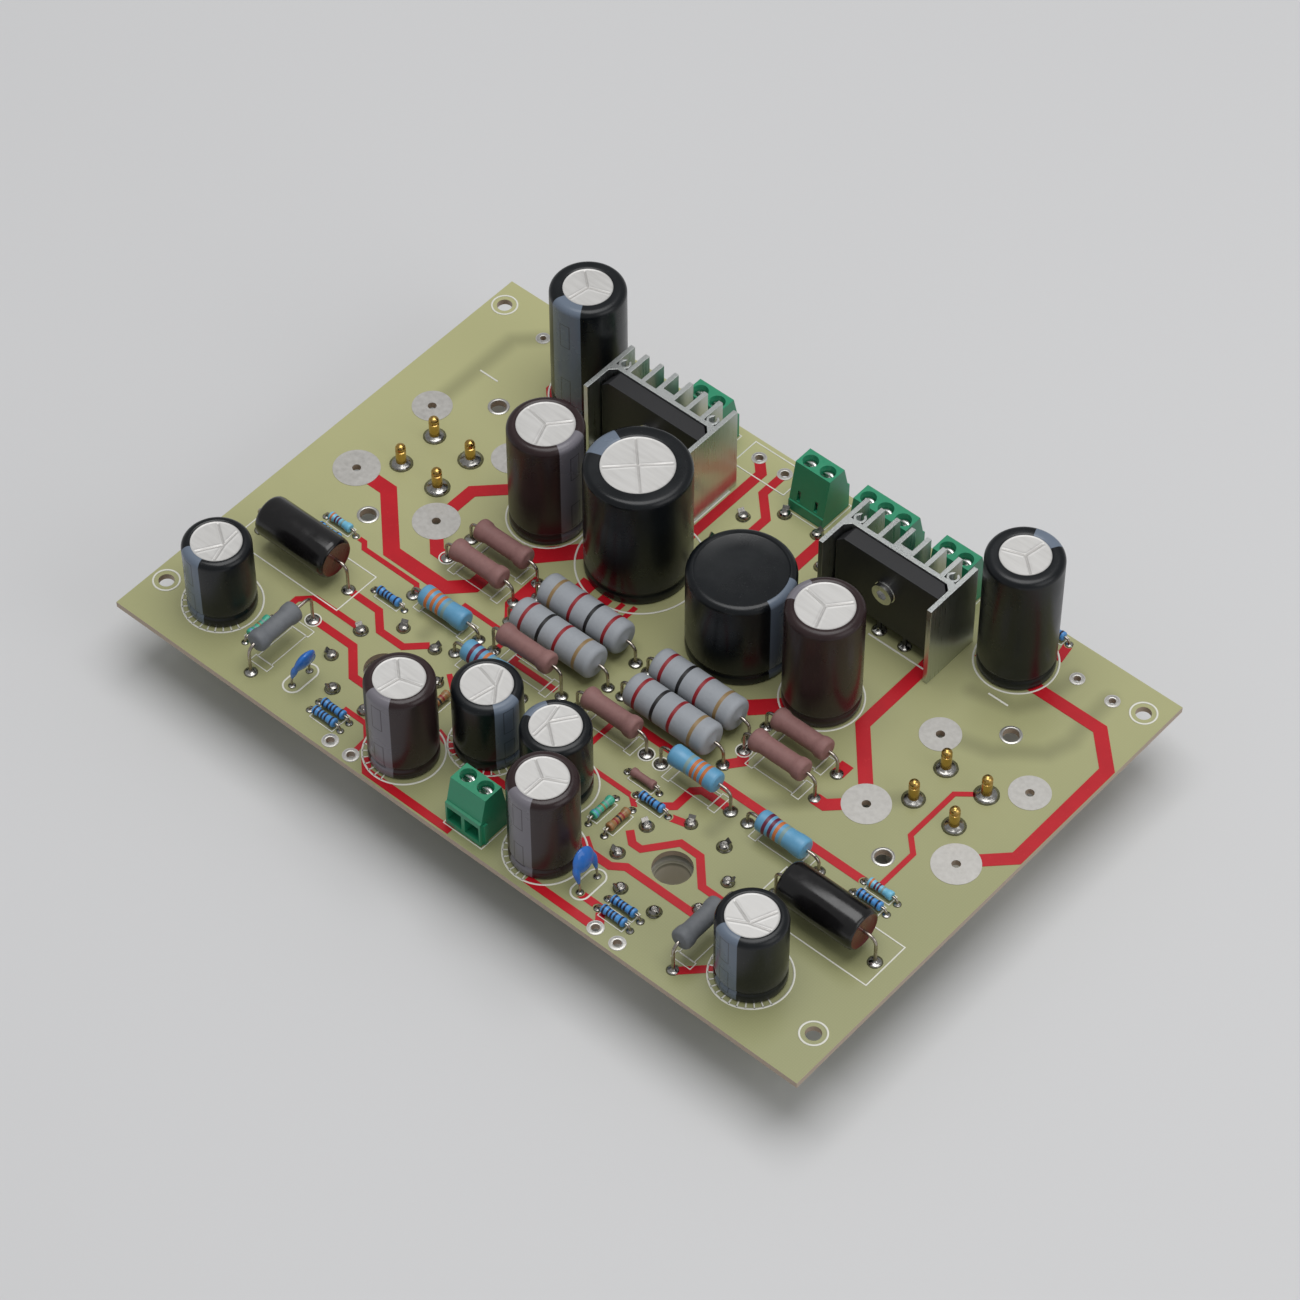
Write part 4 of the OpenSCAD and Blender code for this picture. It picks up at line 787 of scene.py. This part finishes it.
# solder: radius of the pad and height of the fillet for each kind of joint
solderLook = {
    "thick": (1.65, 1.0), "thin": (0.95, 0.62), "gold": (2.9, 2.3), "tail": (1.75, 0.9), "pin": (1.9, 1.0),
    "flat": (1.8, 1.2), "lump": 0.24, "seed": 7,
}
sinkSpots = [(-33.3, 35.6), (37, 34.6)]
bridgeLeads = [(x + reach, y + 5.18) for x, y in sinkSpots for reach in (-12, -1.8, 5.5, 12.8)]
sinkPins = [(x + reach, y + 11.1) for x, y in sinkSpots for reach in (-13.2, 13.2)]
terminals = {"front": (3.8, 2, -1), "back_1": (-31.7, 2, 1), "back_2": (1.3, 2, 1), "back_3": (20.8, 3, 1),
             "back_4": (41.2, 2, 1)}  # middle, poles and side of the board
polePitch, poleRow = 5.08, 59
poleSpots = {f"{name}_pole_{i + 1}": (middle + (i - (count - 1) / 2) * polePitch, side * poleRow)
             for name, (middle, count, side) in terminals.items() for i in range(count)}
outputSpots = [(-74.4, 12), (76.8, 13.2)]  # middles of the four-pin sockets
outputReach, octalRing, barReach = 5.65, 12.5, 3.0


def bothEnds(x, y, way, reach):
    return [(x + side * reach, y) if way == "x" else (x, y + side * reach) for side in (-1, 1)]


def jointList():  # x, y, kind, and whether it shows on top of the board
    joints = []
    for look in axialLooks.values():
        for x, y, way, key in look["at"]:
            joints += [(*spot, "thick", True) for spot in bothEnds(x, y, way, look["pitch"] / 2)]
    for coat, marks, spots in smallGroups.values():
        for x, y, way in spots:
            joints += [(*spot, "thin", True) for spot in bothEnds(x, y, way, smallLook["pitch"] / 2)]
    for x, y, lean in discLook["at"]:
        joints += [(*spot, "thin", True) for spot in bothEnds(x, y, "y", discLook["pitch"] / 2)]
    joints += [(x, y, "flat", True) for x, y in bridgeLeads]
    joints += [(x, y, "pin", False) for x, y in sinkPins]
    joints += [(x, y + (barReach if y < 0 else -barReach), "thick", False) for x, y in poleSpots.values()]
    for can in canLooks.values():
        reach = 5 if can["d"] > 20 else 3.75
        joints += [(*spot, "thick", False) for x, y, a, b in can["at"] for spot in bothEnds(x, y, "x", reach)]
    joints += [(x + sx * outputReach, y + sy * outputReach, "gold", True)
               for x, y in outputSpots for sx in (-1, 1) for sy in (-1, 1)]
    tails = [math.radians(22.5 + 45 * i) for i in range(8)]
    joints += [(x + octalRing * math.cos(a), y + octalRing * math.sin(a), "tail", True)
               for x, y in octalSpots for a in tails]
    return joints


def filletTree():
    tree, given, result = startTree("solderFillet", [("Round steps", "Int", 22), ("Lump", "Float", 0.00016),
            ("Seed", "Float", 7.0), ("Finish", "Material", None)])
    cone = geo(tree, "MeshCone", "Mesh", {"Vertices": given["Round steps"], "Side Segments": 6,
            "Radius Top": 0.16, "Radius Bottom": 1.0, "Depth": 1.0})
    spot = addNode(tree, "GeometryNodeInputPosition").outputs["Position"]
    axes = axesOf(tree, spot)
    left = calc(tree, "SUBTRACT", 1.0, axes[2])
    hollow = calc(tree, "MULTIPLY_ADD", calc(tree, "POWER", calc(tree, "MAXIMUM", left, 0.0), 2.3), 0.84, 0.16)
    share = calc(tree, "DIVIDE", hollow, calc(tree, "MULTIPLY_ADD", left, 0.84, 0.16))
    moved = addNode(tree, "ShaderNodeCombineXYZ", {"X": times(tree, axes[0], share),
            "Y": times(tree, axes[1], share), "Z": axes[2]}).outputs[0]
    drop = geo(tree, "SetPosition", "Geometry", {"Geometry": cone, "Position": moved})
    size = geo(tree, "InputNamedAttribute", "Attribute", {"Name": "padSize"}, data_type="FLOAT_VECTOR")
    turn = geo(tree, "InputNamedAttribute", "Attribute", {"Name": "padTurn"}, data_type="FLOAT_VECTOR")
    many = addNode(tree, "GeometryNodeInstanceOnPoints", {"Points": given["Geometry"], "Instance": drop,
            "Rotation": turn, "Scale": size})
    real = geo(tree, "RealizeInstances", "Geometry", {"Geometry": many.outputs["Instances"]})
    swell = addNode(tree, "ShaderNodeTexNoise", {"Vector": spot, "W": given["Seed"], "Scale": 900.0, "Detail": 1.0},
                    noise_dimensions="4D").outputs["Fac"]
    push = times(tree, calc(tree, "SUBTRACT", swell, 0.45), given["Lump"])
    facing = addNode(tree, "GeometryNodeInputNormal").outputs["Normal"]
    away = vectorMath(tree, "SCALE", "Vector", facing, push, "Scale")
    lumpy = geo(tree, "SetPosition", "Geometry", {"Geometry": real, "Offset": away})
    smooth = geo(tree, "SetShadeSmooth", "Geometry", {"Geometry": lumpy})
    return endTree(tree, given, result, smooth)


random.seed(solderLook["seed"])
spots, sizes, turns = [], [], []
for x, y, kind, shown in jointList():
    for side in ((1, -1) if shown and kind != "tail" and kind != "gold" else (1,) if shown else (-1,)):
        pad, height = solderLook[kind]
        swing = random.uniform(0.92, 1.08)
        spots.append((x * mm, y * mm, (boardTop + 0.02 if side > 0 else boardUnder - 0.02) * mm))
        sizes.append((pad * swing * mm, pad * swing * mm, height * random.uniform(0.85, 1.15) * mm))
        turns.append((0 if side > 0 else math.pi, 0, random.uniform(0, 6.28)))
mesh = bpy.data.meshes.new("solderFillets")
mesh.from_pydata(spots, [], [])
for label, values in (("padSize", sizes), ("padTurn", turns)):
    attribute = mesh.attributes.new(label, "FLOAT_VECTOR", "POINT")
    attribute.data.foreach_set("vector", [part for value in values for part in value])
piece = addObject("solderFillets", mesh)
settle(piece, filletTree(), {"Lump": solderLook["lump"] * mm, "Seed": float(solderLook["seed"]),
        "Finish": finishes["solder"]})
seatPiece(piece, "solder", "solder_joints")


# slotted screws, one to a body
screwLook = {
    "headR": 1.65, "headZ": 10.95, "headH": 1.5, "shankR": 1.15, "footZ": 6.05, "slotW": 0.7, "slotH": 0.8,
    "edge": 0.22,
}


def screwPattern(look):
    shank, head, edge, foot, neck = (look[key] for key in ("shankR", "headR", "edge", "footZ", "headZ"))
    top = neck + look["headH"]
    profile = [(0, foot), (shank - 0.2, foot), (shank, foot + 0.25), (shank, neck), (head - 0.1, neck),
            (head, neck + 0.1), (head, top - edge), (head - edge * 0.4, top - edge * 0.3), (head - edge, top),
            (0, top)]
    shape = newShape()
    addLathe(shape, profile, Matrix.Identity(4), 40)
    pattern = makePiece("screwPattern", shape, [], 40)
    cutter = newShape()
    w, h = look["slotW"] / 2, look["slotH"]
    cutter["verts"] = [Vector((x, y, z)) for x in (-3, 3) for y in (-w, w) for z in (top - h, top + 1)]
    cutter["faces"] = [(0, 1, 3, 2), (4, 6, 7, 5), (0, 4, 5, 1), (2, 3, 7, 6), (0, 2, 6, 4), (1, 5, 7, 3)]
    cutter["wraps"] = [[(0, 0)] * 4] * 6
    cutter["slots"] = [0] * 6
    blade = makePiece("slotBlade", cutter, [], 40)
    cut = pattern.modifiers.new("slot", "BOOLEAN")
    cut.operation = "DIFFERENCE"
    cut.object = blade
    keepShape(pattern)
    bpy.data.objects.remove(blade)
    return pattern


def screwTree():
    tree, given, result = startTree("slottedScrew", [("Pattern", "Object", None), ("Turn", "Float", 0.0),
            ("Finish", "Material", None)])
    pattern = geo(tree, "ObjectInfo", "Geometry", {"Object": given["Pattern"]}, transform_space="ORIGINAL")
    turn = addNode(tree, "ShaderNodeCombineXYZ", {"Z": given["Turn"]}).outputs[0]
    many = addNode(tree, "GeometryNodeInstanceOnPoints", {"Points": given["Geometry"], "Instance": pattern,
            "Rotation": turn})
    return endTree(tree, given, result, many.outputs["Instances"])


pattern, screws = screwPattern(screwLook), screwTree()
for name, (x, y) in poleSpots.items():
    mesh = bpy.data.meshes.new("slottedScrew_" + name)
    mesh.from_pydata([(x * mm, y * mm, seat * mm)], [], [])
    piece = addObject("slottedScrew_" + name, mesh)
    settle(piece, screws, {"Pattern": pattern, "Turn": 0.0, "Finish": finishes["steel"]})
    seatPiece(piece, "bright_steel", "screw_" + name, body="screw_" + name)
bpy.data.objects.remove(pattern)
print("screws placed:", len(poleSpots))


# plated eyelets: x, y, radius of the bore, radius of the rim
eyeletLook = {
    "rise": 0.26, "plain": 0.12, "deep": -1.62,
    "rings": [(-75, -10.25, 1.9, 2.6), (-75, 34.25, 1.9, 2.6), (76.2, -9.05, 1.9, 2.6), (76.2, 35.45, 1.9, 2.6)],
    "wireHoles": [(-36, -63.9, 1.0, 1.95), (-29.8, -63.9, 1.0, 1.95), (41.9, -63.9, 1.0, 1.95),
        (48.1, -63.9, 1.0, 1.95), (-18.6, 61.8, 1.0, 1.85), (-10.9, 61.8, 1.0, 1.85), (-81.8, 57.4, 0.75, 1.8),
        (77.4, 57.7, 0.85, 1.8), (87.2, 57.7, 0.85, 1.8)],
}
shape = newShape()
for x, y, bore, rim in eyeletLook["rings"] + eyeletLook["wireHoles"]:
    rise = eyeletLook["rise"] if bore > 1.5 else eyeletLook["plain"]
    deep = eyeletLook["deep"]
    roll = [(bore + 0.02, deep), (bore + 0.02, rise * 0.6), (bore + 0.1, rise * 0.92), (bore + 0.25, rise),
            (rim - 0.2, rise * 0.85), (rim - 0.04, rise * 0.55), (rim + 0.01, 0.02), (rim - 0.1, 0.005),
            (bore + 0.12, 0.0), (bore + 0.12, deep), (bore + 0.02, deep)]
    addLathe(shape, list(reversed(roll)), Matrix.Translation((x, y, boardTop)), 40)
seatPiece(makePiece("platedEyelets", shape, [finishes["eyelet"]], 40), "tin")
print("eyelets set:", len(eyeletLook["rings"]) + len(eyeletLook["wireHoles"]))


# printed outlines on the board
printLook = {
    "width": 0.44, "height": 0.13, "thin": 0.33, "canRing": 9.25, "midRing": 9.65, "mainRing": (-18.2, 19.6, 15),
    "mountRing": 3.05, "mounts": [(x, y) for x in (-96, 94.5) for y in (-54.5, 59.5)], "padRing": 1.85,
    "pads": [(19.1, -21.2), (23.3, -21.2), (-62.8, -41.3), (-52.5, -8), (34.6, -6.4)],
    "boxes": [(-93.5, -35.8, -60.7, -22.8), (62.25, -37.8, 95, -24.75), (-22.5, 56.6, -7, 65.2)],
    "lines": [(34, 37.4, 51, 37.4), (-17.1, 36.5, -17.1, 49.5)],
    "bars": [(-83.3, 40), (67.8, 41.5)], "barHalf": 2.75, "tickStep": 12, "tickLength": 1.5,
    "ticks": {"smallBlackCans": (195, 345), "smallBrownCans": (195, 285)},
}
outlineLook = [
    [(-7.6, -2.65), (-5.6, -2.65), (-5.6, -2.1), (5.6, -2.1), (5.6, -2.65), (7.6, -2.65), (7.6, 2.65), (5.6, 2.65),
     (5.6, 2.1), (-5.6, 2.1), (-5.6, 2.65), (-7.6, 2.65)],
    [(-5.6, -2.1), (-5.6, 2.1)], [(5.6, -2.1), (5.6, 2.1)],
]  # a narrow middle between two wider ends


def ringRoute(x, y, radius, steps=72):
    return [(px, py, boardTop) for px, py in arcPoints((x, y), radius, 0, 360, steps)][:-1], True


def lineRoute(x0, y0, x1, y1):
    return [(x0, y0, boardTop), (x1, y1, boardTop)], False


def boxRoute(x0, y0, x1, y1):
    return [(x0, y0, boardTop), (x1, y0, boardTop), (x1, y1, boardTop), (x0, y1, boardTop)], True


def outlineRoutes(x, y, way):
    return [([(x + a, y + b, boardTop) if way == "x" else (x - b, y + a, boardTop) for a, b in run], len(run) > 2)
            for run in outlineLook]


def printRoutes(look):
    bold, fine = [], []
    bold += [ringRoute(x, y, look["mountRing"]) for x, y in look["mounts"]]
    fine += [ringRoute(x, y, look["padRing"], 32) for x, y in look["pads"]]
    far, near = look["canRing"], look["canRing"] - look["tickLength"]
    for name, (first, last) in look["ticks"].items():
        for x, y, a, b in canLooks[name]["at"]:
            bold.append(ringRoute(x, y, far))
            for angle in range(first, last + 1, look["tickStep"]):
                cos, sin = math.cos(math.radians(angle)), math.sin(math.radians(angle))
                fine.append(lineRoute(x + near * cos, y + near * sin, x + far * cos, y + far * sin))
    for name in ("tallCans", "largeBrownCans"):
        bold += [ringRoute(x, y, look["midRing"]) for x, y, a, b in canLooks[name]["at"]]
    bold.append(ringRoute(*look["mainRing"], 96))
    bold += [boxRoute(*box) for box in look["boxes"]]
    for x, y, lean in discLook["at"]:
        ends = arcPoints((x, y + 2.5), 2.2, 0, 180, 16) + arcPoints((x, y - 2.6), 2.2, 180, 360, 16)
        bold.append(([(a, b, boardTop) for a, b in ends], True))
    for name in ("woundResistors", "blueResistors", "slateResistors"):
        for x, y, way, key in axialLooks[name]["at"]:
            fine += outlineRoutes(x, y, way)
    for coat, marks, spots in smallGroups.values():
        for x, y, way in spots:
            a, b = (3.4, 1.4) if way == "x" else (1.4, 3.4)
            fine.append(boxRoute(x - a, y - b, x + a, y + b))
    for middle, count, side in terminals.values():
        a, b = count * polePitch / 2 + 0.5, 5.3
        fine.append(boxRoute(middle - a, side * poleRow - b, middle + a, side * poleRow + b))
    bold += [lineRoute(*line) for line in look["lines"]]
    bold += [lineRoute(x - look["barHalf"], y, x + look["barHalf"], y) for x, y in look["bars"]]
    return bold, fine


def printTree():
    tree, given, result = startTree("printedLine", [("Line width", "Float", 0.00026),
            ("Line height", "Float", 0.00003), ("Finish", "Material", None)])
    line = geo(tree, "MeshToCurve", "Curve", {"Mesh": given["Geometry"]})
    level = geo(tree, "SetCurveNormal", "Curve", {"Curve": line}, mode="Z_UP")
    section = geo(tree, "CurvePrimitiveQuadrilateral", "Curve",
            {"Width": given["Line width"], "Height": given["Line height"]}, mode="RECTANGLE")
    strip = geo(tree, "CurveToMesh", "Mesh", {"Curve": level, "Profile Curve": section, "Fill Caps": True})
    return endTree(tree, given, result, strip)


boldRoutes, fineRoutes = printRoutes(printLook)
lines = printTree()
# lines stand on the board and run over the tracks
printLevel = Matrix.Translation((0, 0, printLook["height"] / 2 * mm))
for name, routes, width in (("boldPrint", boldRoutes, "width"), ("finePrint", fineRoutes, "thin")):
    piece = settle(startRoutes(name, routes), lines, {"Line width": printLook[width] * mm,
                   "Line height": printLook["height"] * mm, "Finish": finishes["palePrint"]})
    piece.data.transform(printLevel)
    seatPiece(piece, "board_laminate")
print("print lines drawn:", len(boldRoutes) + len(fineRoutes))


# floor, light and camera
stageLook = {
    "floor": (205, 205, 206), "floorPale": (208, 208, 209), "worldStrength": 0.35,
    "keyPower": 11.6, "keySize": 1.0, "keyAt": (0.02, 0.12, 1.3),
    "fillPower": 2.8, "fillSize": 0.8, "fillAt": (1.1, 0.1, 0.6),
}
mesh = bpy.data.meshes.new("studioFloor")
mesh.from_pydata([(-3, -3, 0), (3, -3, 0), (3, 3, 0), (-3, 3, 0)], [], [(0, 1, 2, 3)])
floor = addObject("studioFloor", mesh)
material, tree, shader, coords = startFinish("paleFloor", Roughness=0.7, Specular_IOR_Level=0.2)
cloud = grain(tree, coords, 3.0, 2.0)
feed(tree, shader, "Base Color", mixColour(tree, cloud, stageLook["floor"], stageLook["floorPale"]))
mesh.materials.append(material)

world = bpy.data.worlds.new("studioWorld")
bpy.context.scene.world = world
world.use_nodes = True
world.node_tree.nodes["Background"].inputs["Color"].default_value = (0.98, 0.99, 1.0, 1.0)
world.node_tree.nodes["Background"].inputs["Strength"].default_value = stageLook["worldStrength"]


def addLamp(name, place, target, size, power):
    data = bpy.data.lights.new(name, "AREA")
    data.size = size
    data.energy = power
    lamp = addObject(name, data)
    lamp.location = place
    lamp.rotation_euler = (Vector(target) - Vector(place)).to_track_quat("-Z", "Y").to_euler()


addLamp("keyLamp", stageLook["keyAt"], (0, 0, 0.02), stageLook["keySize"], stageLook["keyPower"])
addLamp("fillLamp", stageLook["fillAt"], (0, 0, 0.02), stageLook["fillSize"], stageLook["fillPower"])

cameraLook = {"at": (0.4430, -0.5042, 0.8304), "turn": (39.672, 0.126, 41.044), "lens": 130.49}
data = bpy.data.cameras.new("photoCamera")
data.sensor_width = 36
data.lens = cameraLook["lens"]
camera = addObject("photoCamera", data)
camera.location = cameraLook["at"]
camera.rotation_euler = [math.radians(a) for a in cameraLook["turn"]]
bpy.context.scene.camera = camera
bpy.context.scene.view_settings.view_transform = "Standard"
print("stage set")
